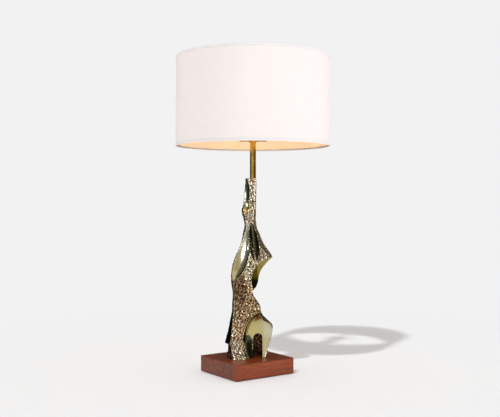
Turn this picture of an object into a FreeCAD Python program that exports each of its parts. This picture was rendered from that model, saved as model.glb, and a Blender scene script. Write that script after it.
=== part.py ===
import FreeCAD, Part
import Sketcher
import math
import os
import re

# Figural table lamp: a cast metal figure on a wooden block, with a brass neck, a keyed lamp holder,
# a harp and a fabric drum shade.  Millimetres, +Z up.  The origin is where the lamp's upright axis
# (neck, holder, harp and shade) meets the table.  +X runs along the block's length and +Y along its
# width, towards its rear face.

os.makedirs("parts", exist_ok=True)
Vector = FreeCAD.Vector
doc = FreeCAD.newDocument("FiguralTableLamp")

# ------------------------------------------------------------------ driving sizes
SIZES = {
    # block and felt
    "block_length": 181.0, "block_width": 166.5, "block_height": 40.0, "block_corner": 1.6,
    "block_edge": 1.2, "felt_thickness": 1.8, "felt_inset": 3.0,
    "neck_offset": 19.4,            # upright axis from the block's centre, along its length
    "recess_diameter": 128.0, "recess_depth": 20.0, "recess_shift": 7.4,
    # cord inlet in the rear face
    "inlet_bore": 7.0, "inlet_wall": 2.0, "inlet_flange": 16.0, "inlet_flange_thickness": 2.0,
    "inlet_height": 12.0, "inlet_length": 17.0,
    # cast figure
    "figure_height": 466.2, "figure_breadth": 128.0, "figure_turn_angle": 35.0, "casting_wall": 7.0,
    "core_height": 279.0, "boss_diameter": 20.0, "boss_cover": 8.0, "wire_way": 8.0,
    "pipe_depth": 36.0, "pipe_relief": 2.5,
    # fixings from below
    "bolt_diameter": 6.0, "bolt_grip": 16.0, "bolt_head": 10.0, "bolt_head_height": 4.2,
    "washer_diameter": 15.0, "washer_thickness": 1.4, "bolt_clearance": 0.3, "bolt_relief": 2.0,
    # neck
    "pipe_diameter": 9.9, "pipe_bore": 7.0, "pipe_rise": 10.0,
    "neck_diameter": 15.8, "neck_wall": 1.0, "neck_length": 95.0,
    "check_ring_diameter": 19.0, "check_ring_height": 2.4, "check_ring_bead": 0.6,
    # harp and its saddle
    "saddle_span": 70.0, "saddle_width": 14.0, "saddle_thickness": 1.6,
    "tab_width": 4.4, "tab_height": 15.0, "harp_wire": 3.2, "harp_foot_span": 65.3,
    "harp_height": 198.0, "harp_straight": 35.0, "harp_belly": 112.0, "harp_top_width": 34.0,
    "harp_knee_bend": 28.0, "harp_belly_bend": 46.0, "harp_shoulder_bend": 52.0, "harp_crown_bend": 17.0,
    "sleeve_length": 13.0, "sleeve_wall": 1.0, "sleeve_clearance": 0.3,
    "lock_nut_flats": 14.0, "lock_nut_height": 3.0,
    # lamp holder
    "cap_diameter": 39.0, "cap_height": 22.0, "cap_throat": 5.0, "cap_bevel": 3.0,
    "cap_bevel_height": 6.0, "cap_shoulder": 10.0, "cap_floor": 1.2, "cap_collar_wall": 1.6,
    "cap_collar_height": 7.0, "holder_gap": 2.0,
    "shell_wall": 0.6, "shell_height": 45.0, "shell_lap": 7.0, "shell_step": 1.5,
    "shell_step_height": 3.0, "shell_mouth": 6.0, "liner_wall": 0.8, "liner_gap": 1.0,
    "body_height": 18.0, "body_clearance": 0.4, "terminal_diameter": 4.0, "terminal_height": 4.0,
    "terminal_length": 6.2, "terminal_proud": 0.2,
    "thread_shell_height": 27.0, "thread_shell_wall": 0.5, "thread_shell_lip": 5.0,
    "thread_clearance": 0.35, "contact_height": 3.5, "contact_diameter": 9.0,
    "contact_floor": 0.8, "contact_nose": 6.0,
    "key_shaft": 4.0, "key_root": 4.0, "key_reach": 44.0, "key_paddle": 15.0, "key_taper": 5.0,
    "key_height": 9.0, "key_thickness": 3.0, "keyway_clearance": 0.5,
    # bulb
    "bulb_diameter": 60.0, "bulb_length": 108.0, "bulb_cap_diameter": 26.3, "bulb_cap_height": 23.0,
    "bulb_neck": 27.0, "bulb_flare": 1.2, "bulb_flare_height": 9.0, "bulb_shoulder_angle": 25.0,
    "bulb_wall": 0.9, "bulb_cap_chamfer": 3.0, "bulb_tip": 9.5, "bulb_tip_height": 3.0,
    "bulb_tip_chamfer": 1.0,
    # swivel, spider and finial
    "stud_base_diameter": 11.0, "stud_base_height": 10.5, "stud_base_rise": 4.9, "stud_pin": 4.0,
    "stud_pin_length": 3.6, "stud_pin_relief": 0.4, "stud_flange": 12.7, "stud_flange_height": 2.5,
    "stud_thread": 6.3, "stud_thread_length": 12.0, "stud_thread_chamfer": 0.6,
    "hub_diameter": 20.0, "hub_thickness": 2.0, "spider_wire": 3.2, "spider_arms": 3.0,
    "arm_root": 3.0, "arm_bend": 120.0,
    "finial_height": 28.0, "finial_ball": 15.0, "finial_ball_angle": 50.0, "finial_foot": 12.0,
    "finial_foot_height": 2.0, "finial_neck": 9.2, "finial_neck_start": 3.2, "finial_neck_end": 6.0,
    "finial_bead": 12.4, "finial_bead_start": 7.4, "finial_bead_end": 8.6, "finial_cap": 1.0,
    # shade
    "shade_bottom_diameter": 406.0, "shade_taper": 3.0, "shade_height": 234.2,
    "shade_recess": 12.0, "liner_thickness": 0.8, "fabric_thickness": 0.6, "trim_height": 6.0,
    "trim_thickness": 0.5, "ring_wire": 3.0, "ring_drop": 2.0,
    # fits
    "running": 0.05, "seat": 0.1, "shade_gap": 0.15,
}

sheet = doc.addObject("Spreadsheet::Sheet", "Sizes")
for row, (alias, size) in enumerate(SIZES.items(), start=1):
    sheet.set(f"A{row}", alias)
    sheet.set(f"B{row}", str(size))
    sheet.setAlias(f"B{row}", alias)

# Heights that follow from the sizes above, stacked from the table upwards.
HEIGHTS = {
    "block_top": "felt_thickness + block_height",
    "recess_top": "felt_thickness + recess_depth",
    "figure_top": "block_top + figure_height",
    "neck_top": "figure_top + neck_length",
    "ring_top": "neck_top + check_ring_height",
    "saddle_top": "ring_top + saddle_thickness",
    "nut_top": "saddle_top + lock_nut_height",
    "pipe_top": "nut_top + pipe_rise",
    "cap_top": "nut_top + cap_height",
    "shell_bottom": "cap_top - shell_lap",
    "shell_top": "shell_bottom + shell_height",
    "shell_step_top": "shell_top - shell_mouth",
    "shell_step_bottom": "shell_step_top - shell_step_height",
    "body_bottom": "pipe_top + holder_gap",
    "body_top": "body_bottom + body_height",
    "bulb_bottom": "body_top + contact_height",
    "bulb_cap_bottom": "bulb_bottom + bulb_tip_height",
    "bulb_cap_top": "bulb_cap_bottom + bulb_cap_height",
    "bulb_top": "bulb_bottom + bulb_length",
    "harp_top": "saddle_top + harp_height",
    "stud_base_top": "harp_top + stud_base_rise",
    "flange_bottom": "stud_base_top + seat",
    "flange_top": "flange_bottom + stud_flange_height",
    "stud_top": "flange_top + stud_thread_length",
    "hub_top": "flange_top + hub_thickness",
    "shade_top": "hub_top + shade_recess",
    "shade_bottom": "shade_top - shade_height",
    "shell_radius": "cap_diameter / 2 - shell_wall - running",
    "body_radius": "shell_radius - shell_wall - liner_wall - 2 * running - body_clearance",
    "thread_radius": "bulb_cap_diameter / 2 + thread_clearance",
    "key_level": "body_bottom + body_height / 2",
}
for row, (alias, formula) in enumerate(HEIGHTS.items(), start=len(SIZES) + 2):
    sheet.set(f"A{row}", alias)
    sheet.set(f"B{row}", "=" + formula)
    sheet.setAlias(f"B{row}", alias)
doc.recompute()
WORDS = set(SIZES) | set(HEIGHTS)
pieces = []


def size(formula):
    """The present value of a formula written in the sheet's words."""
    return float(sheet.evalExpression(str(formula)))


def tie(formula):
    """The same formula as another object has to write it, with the sheet's name before each word."""
    return re.sub(r"[a-z_]+", lambda m: "Sizes." + m[0] if m[0] in WORDS else m[0], str(formula))


def bind(thing, prop, formula):
    thing.setExpression(prop, tie(formula))


# ------------------------------------------------------------------ small builders
def new_body(label):
    body = doc.addObject("PartDesign::Body", label.title().replace("_", ""))
    body.Label = label
    pieces.append(body)
    return body


def sketch_on(body, role, lift=None):
    """A sketch on one of the body's own origin planes, raised along the plane's normal by a formula."""
    sketch = body.newObject("Sketcher::SketchObject", body.Name + "Sketch")
    plane = next(f for f in body.Origin.OriginFeatures if f.Role == role)
    sketch.AttachmentSupport = [(plane, "")]
    sketch.MapMode = "FlatFace"
    if lift is not None:
        sketch.AttachmentOffset = FreeCAD.Placement(Vector(0, 0, size(lift)), FreeCAD.Rotation())
        bind(sketch, "AttachmentOffset.Base.z", lift)
    return sketch


def hold_point(sketch, item, corner, x, y):
    """Fix a point of the sketch at formulas x and y, measured from the sketch's origin."""
    for kind, axis, formula in (("DistanceX", -2, x), ("DistanceY", -1, y)):
        place = size(formula)
        if str(formula) == "0":
            sketch.addConstraint(Sketcher.Constraint("PointOnObject", item, corner, axis))
        elif place >= 0:
            index = sketch.addConstraint(Sketcher.Constraint(kind, -1, 1, item, corner, place))
            bind(sketch, f"Constraints[{index}]", formula)
        else:
            index = sketch.addConstraint(Sketcher.Constraint(kind, item, corner, -1, 1, -place))
            bind(sketch, f"Constraints[{index}]", f"-({formula})")


def arc_between(start, end, radius, side):
    """An arc of the given radius between two points, bulging to the left of the way for side +1 and
    to the right for side -1.  It is always drawn anticlockwise, so a left bulge runs from its end."""
    chord = end - start
    half = chord.Length / 2
    reach = math.sqrt(max(radius * radius - half * half, 0.0))
    left = Vector(-chord.y, chord.x, 0).normalize()
    centre = start + chord * 0.5 - left * reach * side
    middle = centre + left * radius * side
    return Part.Arc(end, middle, start) if side > 0 else Part.Arc(start, middle, end)


def outline(sketch, corners):
    """A closed outline.  Each corner is (x, y) or (x, y, radius, side), where the last two make the
    edge that leaves it an arc.  Every number is a formula in the sheet's words."""
    points = [Vector(size(c[0]), size(c[1]), 0) for c in corners]
    count = len(corners)
    first = sketch.GeometryCount
    flips = []
    for k, corner in enumerate(corners):
        start, end = points[k], points[(k + 1) % count]
        if len(corner) == 2:
            sketch.addGeometry(Part.LineSegment(start, end), False)
            flips.append(False)
        else:
            sketch.addGeometry(arc_between(start, end, size(corner[2]), corner[3]), False)
            flips.append(corner[3] > 0)
    for k in range(count):
        here, following = first + k, first + (k + 1) % count
        leaving = 1 if flips[k] else 2
        entering = 2 if flips[(k + 1) % count] else 1
        sketch.addConstraint(Sketcher.Constraint("Coincident", here, leaving, following, entering))
    for k, corner in enumerate(corners):
        hold_point(sketch, first + k, 2 if flips[k] else 1, corner[0], corner[1])
        if len(corner) == 4:
            index = sketch.addConstraint(Sketcher.Constraint("Radius", first + k, size(corner[2])))
            bind(sketch, f"Constraints[{index}]", corner[2])


def circle(sketch, x, y, diameter):
    item = sketch.addGeometry(Part.Circle(Vector(size(x), size(y), 0), Vector(0, 0, 1),
                                          size(diameter) / 2), False)
    hold_point(sketch, item, 3, x, y)
    index = sketch.addConstraint(Sketcher.Constraint("Diameter", item, size(diameter)))
    bind(sketch, f"Constraints[{index}]", diameter)


def turned(label, corners):
    """A piece turned about the upright axis, from its outline on the XZ plane."""
    body = new_body(label)
    sketch = sketch_on(body, "XZ_Plane")
    outline(sketch, corners)
    spin = body.newObject("PartDesign::Revolution", body.Name + "Turned")
    spin.Profile = sketch
    spin.ReferenceAxis = (sketch, ["V_Axis"])
    spin.Angle = 360
    doc.recompute()
    return body


def pad(body, sketch, length, midplane=False):
    feature = body.newObject("PartDesign::Pad", body.Name + "Pad")
    feature.Profile = sketch
    feature.Length = size(length)
    bind(feature, "Length", length)
    feature.Midplane = midplane
    doc.recompute()
    return feature


def pocket(body, sketch, length, reversed_way=False, midplane=False):
    """Cut the sketch into the body and make sure that something was removed."""
    before = body.Shape.Volume
    feature = body.newObject("PartDesign::Pocket", body.Name + "Pocket")
    feature.Profile = sketch
    feature.Length = size(length)
    bind(feature, "Length", length)
    feature.Reversed = reversed_way
    feature.Midplane = midplane
    doc.recompute()
    if body.Shape.Volume > before - 1e-3:
        raise RuntimeError(f"{body.Label}: {feature.Name} cuts nothing")
    return feature


def ring(label, outer, inner, bottom, top):
    """A plain tube or washer between two heights, given by its two diameters."""
    return turned(label, [(f"({inner}) / 2", bottom), (f"({outer}) / 2", bottom),
                          (f"({outer}) / 2", top), (f"({inner}) / 2", top)])


def facing_front(piece):
    """Turn a piece about the upright axis, from the block's square to the way the figure faces."""
    turn = FreeCAD.Rotation(Vector(0, 0, 1), -size("figure_turn_angle"))
    piece.Placement = FreeCAD.Placement(Vector(), turn)


def loose_shape(label, shape):
    piece = doc.addObject("Part::Feature", label.title().replace("_", ""))
    piece.Label = label
    piece.Shape = shape
    pieces.append(piece)
    return piece


def front_point(across, away, height=0.0):
    """A point given as seen from the front of the figure, put into the block's own directions."""
    turn = math.radians(size("figure_turn_angle"))
    return Vector(across * math.cos(turn) + away * math.sin(turn),
                  -across * math.sin(turn) + away * math.cos(turn), height)


# ------------------------------------------------------------------ block, felt and inlet
# Bolts into the figure's feet, and the way for the lead, as seen from the front (across, away), on a
# figure as broad as BREADTH_DRAWN.
BREADTH_DRAWN = 128.0
BOLT_PLACES = [(-44, -38), (-38, 24), (22, 31)]
WIRE_FOOT = (-20, -8)


def breadth_scale():
    return size("figure_breadth") / BREADTH_DRAWN


def foot_point(place, height=0.0):
    """A place on the figure's foot, put into the block's own directions."""
    return front_point(place[0] * breadth_scale(), place[1] * breadth_scale(), height)


def make_felt_pad():
    felt = new_body("felt_pad")
    sketch = sketch_on(felt, "XY_Plane")
    left = "-neck_offset - block_length / 2 + felt_inset"
    right = "-neck_offset + block_length / 2 - felt_inset"
    half = "block_width / 2 - felt_inset"
    outline(sketch, [(left, f"-({half})"), (right, f"-({half})"), (right, half), (left, half)])
    pad(felt, sketch, "felt_thickness")


def make_base_block():
    block = new_body("base_block")
    sketch = sketch_on(block, "XY_Plane", "felt_thickness")
    left = "-neck_offset - block_length / 2"
    right = "-neck_offset + block_length / 2"
    outline(sketch, [(left, "-block_width / 2"), (right, "-block_width / 2"),
                     (right, "block_width / 2"), (left, "block_width / 2")])
    slab = pad(block, sketch, "block_height")

    uprights = [f"Edge{n}" for n, edge in enumerate(slab.Shape.Edges, start=1)
                if abs(edge.tangentAt(edge.FirstParameter).z) > 0.9]
    corners = block.newObject("PartDesign::Fillet", "BlockCorners")
    corners.Base = (slab, uprights)
    bind(corners, "Radius", "block_corner")
    doc.recompute()
    top = size("block_top")
    rim = [f"Edge{n}" for n, edge in enumerate(corners.Shape.Edges, start=1)
           if abs(edge.BoundBox.ZMin - top) < 1e-6]
    eased = block.newObject("PartDesign::Fillet", "BlockEdge")
    eased.Base = (corners, rim)
    bind(eased, "Radius", "block_edge")
    doc.recompute()

    hollow = sketch_on(block, "XY_Plane", "felt_thickness")
    circle(hollow, "recess_shift - neck_offset", "0", "recess_diameter")
    pocket(block, hollow, "recess_depth", reversed_way=True)

    holes = sketch_on(block, "XY_Plane", "recess_top")
    for spot in BOLT_PLACES:
        place = foot_point(spot)
        circle(holes, place.x, place.y, "bolt_diameter + 2 * bolt_clearance")
    wire = foot_point(WIRE_FOOT)
    circle(holes, wire.x, wire.y, "wire_way")
    pocket(block, holes, "block_height - recess_depth", reversed_way=True)

    inlet = sketch_on(block, "XZ_Plane")
    circle(inlet, "recess_shift - neck_offset", "inlet_height",
           "inlet_bore + 2 * inlet_wall + 2 * running")
    pocket(block, inlet, "block_width / 2 + 1")


def make_inlet_bushing():
    bushing = new_body("inlet_bushing")
    face = "-block_width / 2"
    barrel = sketch_on(bushing, "XZ_Plane", f"{face} - inlet_flange_thickness")
    circle(barrel, "recess_shift - neck_offset", "inlet_height", "inlet_bore + 2 * inlet_wall")
    pad(bushing, barrel, "inlet_length + inlet_flange_thickness")
    flange = sketch_on(bushing, "XZ_Plane", f"{face} - inlet_flange_thickness")
    circle(flange, "recess_shift - neck_offset", "inlet_height", "inlet_flange")
    pad(bushing, flange, "inlet_flange_thickness")
    bore = sketch_on(bushing, "XZ_Plane", f"{face} - inlet_flange_thickness")
    circle(bore, "recess_shift - neck_offset", "inlet_height", "inlet_bore")
    pocket(bushing, bore, "inlet_length + inlet_flange_thickness", reversed_way=True)


# ------------------------------------------------------------------ the cast figure
# Seen from the front: across is positive to the right, away is positive to the back.  Each section is
# a closed line through six points, in this order: front left, front right, right, back right, back
# left, left.  Heights are above the table, on a figure as tall as FIGURE_DRAWN and as broad as
# BREADTH_DRAWN.
FIGURE_DRAWN = 466.2
FOOT_DRAWN = 41.8
LEG_SECTIONS = [
    (FOOT_DRAWN, (-52, -61), (24, -52), (37, -10), (34, 40), (-44, 46), (-69, -24)),
    (58, (-54, -59.5), (21, -51), (40, -9), (36, 41), (-43, 45), (-66.5, -14)),
    (76, (-56, -57), (20, -50), (44, -8), (39, 42), (-42, 44), (-65, -4)),
]
HIP_SECTIONS = [
    (76, (-57, -57), (20, -50), (44, -8), (39, 42), (-42, 44), (-74, -2)),
    (99, (-57, -55), (20, -49), (50, -8), (43, 42), (-44, 43), (-68, 2)),
    (116, (-55, -53), (20, -48), (53.5, -8), (43, 40), (-43, 41), (-64, 2)),
    (126, (-54, -52), (20, -47.5), (51, -8), (40, 38), (-42, 40), (-62, 2)),
    (138, (-53, -51), (20, -47), (39, -6), (31, 35), (-41, 38), (-59.5, 3)),
    (152, (-52, -50), (21, -46), (25, -4), (23, 32), (-40, 36), (-57, 4)),
]
BODY_SECTIONS = [
    (152, (-52, -50), (21, -46), (25, -4), (23, 32), (-40, 36), (-57, 4)),
    (167, (-51.5, -48), (21, -44), (20, -2), (16, 28), (-38, 34), (-55, 6)),
    (190, (-51, -45), (8, -42), (8.5, -4), (6, 25), (-36, 31), (-54, 6)),
    (213, (-51.5, -43), (-1, -40), (1, -4), (0, 24), (-36, 29), (-54, 4)),
    (232, (-53, -42), (10, -38), (17, -2), (12, 25), (-36, 28), (-57, 2)),
    (250, (-54, -41), (26, -37), (34, 0), (22, 26), (-36, 28), (-58, 0)),
    (270, (-52, -40), (40, -35), (49, -4), (30, 25), (-35, 28), (-56.5, 0)),
    (290, (-44, -38.5), (46, -31), (54, -9), (34, 22), (-31, 27), (-51, -2)),
    (306, (-38, -37), (41, -30), (50, -12), (31, 21), (-28, 26), (-45, -2)),
    (321, (-32, -35), (27, -32), (40.5, -12), (26, 20), (-25, 26), (-38, -3)),
    (347, (-24, -30), (12, -30), (24, -8), (16, 19), (-20, 24), (-29.5, -2)),
    (373, (-19, -25), (4.5, -26), (13, -4), (10, 18), (-15, 22), (-24, 0)),
    (394, (-19, -22), (1.5, -22), (8, -2), (7, 17), (-14, 20), (-24, 1)),
    (410, (-22, -21), (2.5, -20), (7.6, 0), (6, 16), (-14, 18), (-27.5, 1)),
    (426, (-23.5, -20), (5.5, -16), (8, 1), (5.5, 16), (-15.5, 17), (-30.5, 0)),
]
CREST_SECTIONS = [
    (426, (-23.5, -20), (5.5, -16), (8, 1), (5.5, 16), (-15.5, 17), (-30.5, 0)),
    (436, (-20, -19), (6, -14.5), (8.2, 2), (5.5, 15), (-15, 16), (-27.5, 0)),
    (456, (-18, -18), (7, -13), (8.6, 3), (5.5, 14), (-14, 15), (-24, 1)),
    (508, (-16, -16), (8, -12), (9, 3), (6, 13), (-12, 14), (-20.5, 1)),
]
# Each stretch of the figure: its sections, and whether the skin between them is straight or smooth.
STRETCHES = [(LEG_SECTIONS, True), (HIP_SECTIONS, False), (BODY_SECTIONS, False), (CREST_SECTIONS, True)]
# Smooth hollows cut out of the figure, each by an egg: centre, half sizes, tilt about the across
# direction and lean about the away direction, in degrees.
HOLLOWS = [
    ((-37, -24, 470), (30, 25, 60), 0, 0),          # flank of the crest
    ((-29, -27, 441), (24, 20, 27), 0, 0),          # its rounded lower end, which makes a ledge
    ((-49, -46, 336), (46, 38, 96), 0, 7),          # long scoop down the left shoulder
    ((2, -46, 346), (13.5, 35, 58), 0, -6),         # deep groove beside the ridge
    ((31, -64, 84), (58, 54, 82), -14, 0),          # vault between the legs
    ((-118, -16, 160), (68, 40, 82), 0, 0),         # left flank
    ((4, 52, 300), (24, 36, 66), 0, 8),             # rear shoulder
    ((-4, 72, 92), (38, 42, 66), 8, 0),             # rear vault
    ((66, 58, 190), (56, 44, 60), 0, -12),          # rear waist
    ((-74, 44, 232), (34, 34, 70), 0, 6),           # rear left flank
]
WING_CUT = {"radius": 65, "place": (72, -10, 237.5), "slew": 0.28, "drop": 0.14}
NICHE = {"left": 1, "right": 24, "spring": 90, "front": -40, "depth": 62}
THROUGH = 1.1           # half the wing cut's length, in breadths of the figure
WIRE_TOP = (-8, -5)     # where the lead leaves the top of the core (across, away)


def section_wire(section, rise, inset=0.0):
    """One section's closed line, each corner drawn in towards the section's middle by inset."""
    spread = breadth_scale()
    level = (section[0] - FOOT_DRAWN) * rise
    corners = [Vector(x * spread, y * spread, level) for x, y in section[1:]]
    middle = sum(corners, Vector()) * (1 / len(corners))
    drawn = [corner + (middle - corner).normalize() * inset for corner in corners]
    return Part.makePolygon(drawn + drawn[:1])


def egg(centre, half_sizes, tilt, lean, rise, grow):
    spread = breadth_scale()
    shape = Part.makeSphere(1.0)
    stretch = FreeCAD.Matrix()
    stretch.scale(half_sizes[0] * spread + grow, half_sizes[1] * spread + grow, half_sizes[2] * rise + grow)
    shape = shape.transformGeometry(stretch)
    rotation = FreeCAD.Rotation(Vector(0, 1, 0), lean).multiply(FreeCAD.Rotation(Vector(1, 0, 0), tilt))
    place = Vector(centre[0] * spread, centre[1] * spread, (centre[2] - FOOT_DRAWN) * rise)
    shape.Placement = FreeCAD.Placement(place, rotation)
    return shape


def wing_cut_shape(rise, grow):
    """The round cut under the right wing, a cylinder that runs right through the figure."""
    across, away, up = WING_CUT["place"]
    spread = breadth_scale()
    reach = size("figure_breadth") * THROUGH
    way = Vector(WING_CUT["slew"], 1, -WING_CUT["drop"])
    start = Vector(across * spread, away * spread, (up - FOOT_DRAWN) * rise) - way * reach
    return Part.makeCylinder(WING_CUT["radius"] * spread + grow, 2 * way.Length * reach, start, way)


def niche_shape(rise, grow):
    """The arched niche between the legs: straight sides and a round crown."""
    spread = breadth_scale()
    left, right, front = (NICHE[word] * spread for word in ("left", "right", "front"))
    left, right = left - grow, right + grow
    spring = (NICHE["spring"] - FOOT_DRAWN) * rise
    crown = spring + (right - left) / 2
    low = -size("block_height") / 2
    corners = [Vector(left, front, low), Vector(left, front, spring),
               Vector(right, front, spring), Vector(right, front, low)]
    middle = Vector((left + right) / 2, front, crown)
    arch = Part.Wire([Part.LineSegment(corners[0], corners[1]).toShape(),
                      Part.Arc(corners[1], middle, corners[2]).toShape(),
                      Part.LineSegment(corners[2], corners[3]).toShape(),
                      Part.LineSegment(corners[3], corners[0]).toShape()])
    return Part.Face(arch).extrude(Vector(0, NICHE["depth"] * spread + grow, 0))


def scooped(shape, rise, grow=0.0):
    """The shape less every hollow of the figure's outside, each hollow grown outwards by grow."""
    for centre, half_sizes, tilt, lean in HOLLOWS:
        shape = shape.cut(egg(centre, half_sizes, tilt, lean, rise, grow))
    return shape.cut(wing_cut_shape(rise, grow)).cut(niche_shape(rise, grow))


def rod(start, end, radius):
    return Part.makeCylinder(radius, (end - start).Length, start, end - start)


def core_shape(rise):
    """The space inside the casting, open at its foot: the sections drawn in by the wall, a wall away
    from every hollow outside, and clear of the bosses that take the bolts."""
    wall, spread = size("casting_wall"), breadth_scale()
    sections = LEG_SECTIONS + HIP_SECTIONS[1:] + BODY_SECTIONS[1:]
    drawn = [s for s in sections if (s[0] - FOOT_DRAWN) * rise <= size("core_height") + size("running") * 8]
    below = (FOOT_DRAWN - wall, *drawn[0][1:])
    core = Part.makeLoft([section_wire(s, rise, wall) for s in [below] + drawn], True, True)
    core = scooped(core, rise, wall)
    for across, away in BOLT_PLACES:
        low = Vector(across * spread, away * spread, -2 * wall)
        high = Vector(across * spread, away * spread, size("bolt_grip + boss_cover"))
        core = core.cut(rod(low, high, size("boss_diameter") / 2))
    return max(core.Solids, key=lambda solid: solid.Volume)


def make_figure_casting():
    height = size("figure_height")
    rise, spread = height / FIGURE_DRAWN, breadth_scale()
    stretches = [Part.makeLoft([section_wire(section, rise) for section in sections], True, straight)
                 for sections, straight in STRETCHES]
    shape = stretches[0].multiFuse(stretches[1:]).removeSplitter()
    shape = scooped(shape, rise)
    core = core_shape(rise)
    shape = shape.cut(core)
    # bore for the threaded pipe, the way that brings the lead up to it, and the tapped bolt holes
    pipe_foot = Vector(0, 0, height - size("pipe_depth"))
    over = Vector(0, 0, size("pipe_relief"))
    shape = shape.cut(rod(pipe_foot, Vector(0, 0, height) + over, size("pipe_diameter / 2 + running")))
    core_top = core.BoundBox.ZMax
    wire_foot = Vector(WIRE_TOP[0] * spread, WIRE_TOP[1] * spread, core_top - size("wire_way"))
    shape = shape.cut(rod(wire_foot, pipe_foot + over, size("wire_way") / 2))
    depth = size("bolt_grip + bolt_relief")
    for across, away in BOLT_PLACES:
        low = Vector(across * spread, away * spread, -depth)
        high = Vector(across * spread, away * spread, depth)
        shape = shape.cut(rod(low, high, size("bolt_diameter / 2 + running")))
    piece = loose_shape("figure_casting", shape)
    facing_front(piece)
    piece.Placement.Base.z = size("block_top")


def make_fixings():
    """Bolts and washers that hold the figure from inside the block's recess."""
    bolts, washers = [], []
    ceiling = size("recess_top")
    under = ceiling - size("washer_thickness")
    for spot in BOLT_PLACES:
        place = foot_point(spot)
        washer = Part.makeCylinder(size("washer_diameter") / 2, size("washer_thickness"),
                                   Vector(place.x, place.y, under))
        hole = Part.makeCylinder(size("bolt_diameter / 2 + bolt_clearance"), size("washer_thickness"),
                                 Vector(place.x, place.y, under))
        washers.append(washer.cut(hole))
        shank = Part.makeCylinder(size("bolt_diameter") / 2, size("block_top + bolt_grip") - under,
                                  Vector(place.x, place.y, under))
        head = Part.makeCylinder(size("bolt_head") / 2, size("bolt_head_height"),
                                 Vector(place.x, place.y, under - size("bolt_head_height")))
        bolts.append(shank.fuse(head).removeSplitter())
    loose_shape("casting_bolts", Part.Compound(bolts))
    loose_shape("bolt_washers", Part.Compound(washers))


# ------------------------------------------------------------------ neck
def make_neck():
    ring("lamp_pipe", "pipe_diameter", "pipe_bore", "figure_top - pipe_depth + pipe_relief", "pipe_top")
    ring("neck_tube", "neck_diameter", "neck_diameter - 2 * neck_wall", "figure_top", "neck_top")
    bore = "pipe_diameter / 2 + running"
    edge = "check_ring_diameter / 2"
    turned("check_ring", [(bore, "neck_top"), (f"{edge} - check_ring_bead", "neck_top"),
                          (edge, "neck_top + check_ring_height / 2"),
                          (f"{edge} - check_ring_bead", "ring_top"), (bore, "ring_top")])


# ------------------------------------------------------------------ harp, saddle and sleeves
TAB_FACE = "harp_foot_span / 2 - harp_wire / 2 - running"      # outer face of a tab, from the axis
SLEEVE_CENTRE = "harp_foot_span / 2 - (saddle_thickness + running) / 2"
# A sleeve's bore clears the corners of the wire and tab that it holds together.
SLEEVE_BORE = ("2 * (sqrt(((harp_wire + running + saddle_thickness) / 2)^2 + (tab_width / 2)^2)"
               " + sleeve_clearance)")
BELLY_STARTS, BELLY_ENDS = 0.34, 0.66      # where the harp's widest stretch lies, from knee to crown


def make_saddle():
    """A flat strip with an upright tab near each end, bent up in one piece."""
    saddle = new_body("harp_saddle")
    profile = sketch_on(saddle, "XZ_Plane")
    end, outer, inner = "saddle_span / 2", f"({TAB_FACE})", f"({TAB_FACE} - saddle_thickness)"
    tip = "saddle_top + tab_height"
    outline(profile, [(f"-{end}", "ring_top"), (end, "ring_top"), (end, "saddle_top"),
                      (outer, "saddle_top"), (outer, tip), (inner, tip), (inner, "saddle_top"),
                      (f"-{inner}", "saddle_top"), (f"-{inner}", tip), (f"-{outer}", tip),
                      (f"-{outer}", "saddle_top"), (f"-{end}", "saddle_top")])
    pad(saddle, profile, "saddle_width", midplane=True)
    for hand in ("", "-"):
        trim = sketch_on(saddle, "YZ_Plane")
        near, far = f"{hand}tab_width / 2", f"{hand}(saddle_width / 2 + 1)"
        outline(trim, [(near, "saddle_top"), (far, "saddle_top"), (far, f"{tip} + 1"),
                       (near, f"{tip} + 1")])
        pocket(saddle, trim, "saddle_span + 2", midplane=True)
    hole = sketch_on(saddle, "XY_Plane", "saddle_top")
    circle(hole, "0", "0", "pipe_diameter + 2 * running")
    pocket(saddle, hole, "saddle_thickness")
    facing_front(saddle)


def rounded_path(corners, radii):
    """Straight runs through the corners, joined by arcs that touch both runs."""
    edges, start = [], corners[0]
    for before, corner, after, radius in zip(corners, corners[1:], corners[2:], radii):
        back = (before - corner).normalize()
        ahead = (after - corner).normalize()
        half_angle = back.getAngle(ahead) / 2
        cut = radius / math.tan(half_angle)
        first, last = corner + back * cut, corner + ahead * cut
        centre = corner + (back + ahead).normalize() * (radius / math.sin(half_angle))
        middle = centre + (corner - centre).normalize() * radius
        if (first - start).Length > 1e-3:
            edges.append(Part.LineSegment(start, first).toShape())
        edges.append(Part.Arc(first, middle, last).toShape())
        start = last
    edges.append(Part.LineSegment(start, corners[-1]).toShape())
    return Part.Wire(edges)


def make_harp():
    foot, belly = size("harp_foot_span") / 2, size("harp_belly") / 2
    low = size("saddle_top + running")
    knee = size("saddle_top + harp_straight")
    crown = size("harp_top - harp_wire / 2")
    shoulder = size("harp_top_width") / 2
    tall = crown - knee
    half = [Vector(foot, 0, low), Vector(foot, 0, knee), Vector(belly, 0, knee + tall * BELLY_STARTS),
            Vector(belly, 0, knee + tall * BELLY_ENDS), Vector(shoulder, 0, crown)]
    other = [Vector(-p.x, 0, p.z) for p in reversed(half)]
    bends = [size(f"harp_{place}_bend") for place in ("knee", "belly", "shoulder", "crown")]
    path = rounded_path(half + other, bends + bends[::-1])
    profile = Part.Wire(Part.Circle(Vector(foot, 0, low), Vector(0, 0, 1), size("harp_wire") / 2).toShape())
    wire = Part.BRepOffsetAPI.MakePipeShell(path)
    wire.add(profile)
    wire.build()
    wire.makeSolid()
    harp = loose_shape("harp_wire", wire.shape())
    facing_front(harp)


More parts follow.
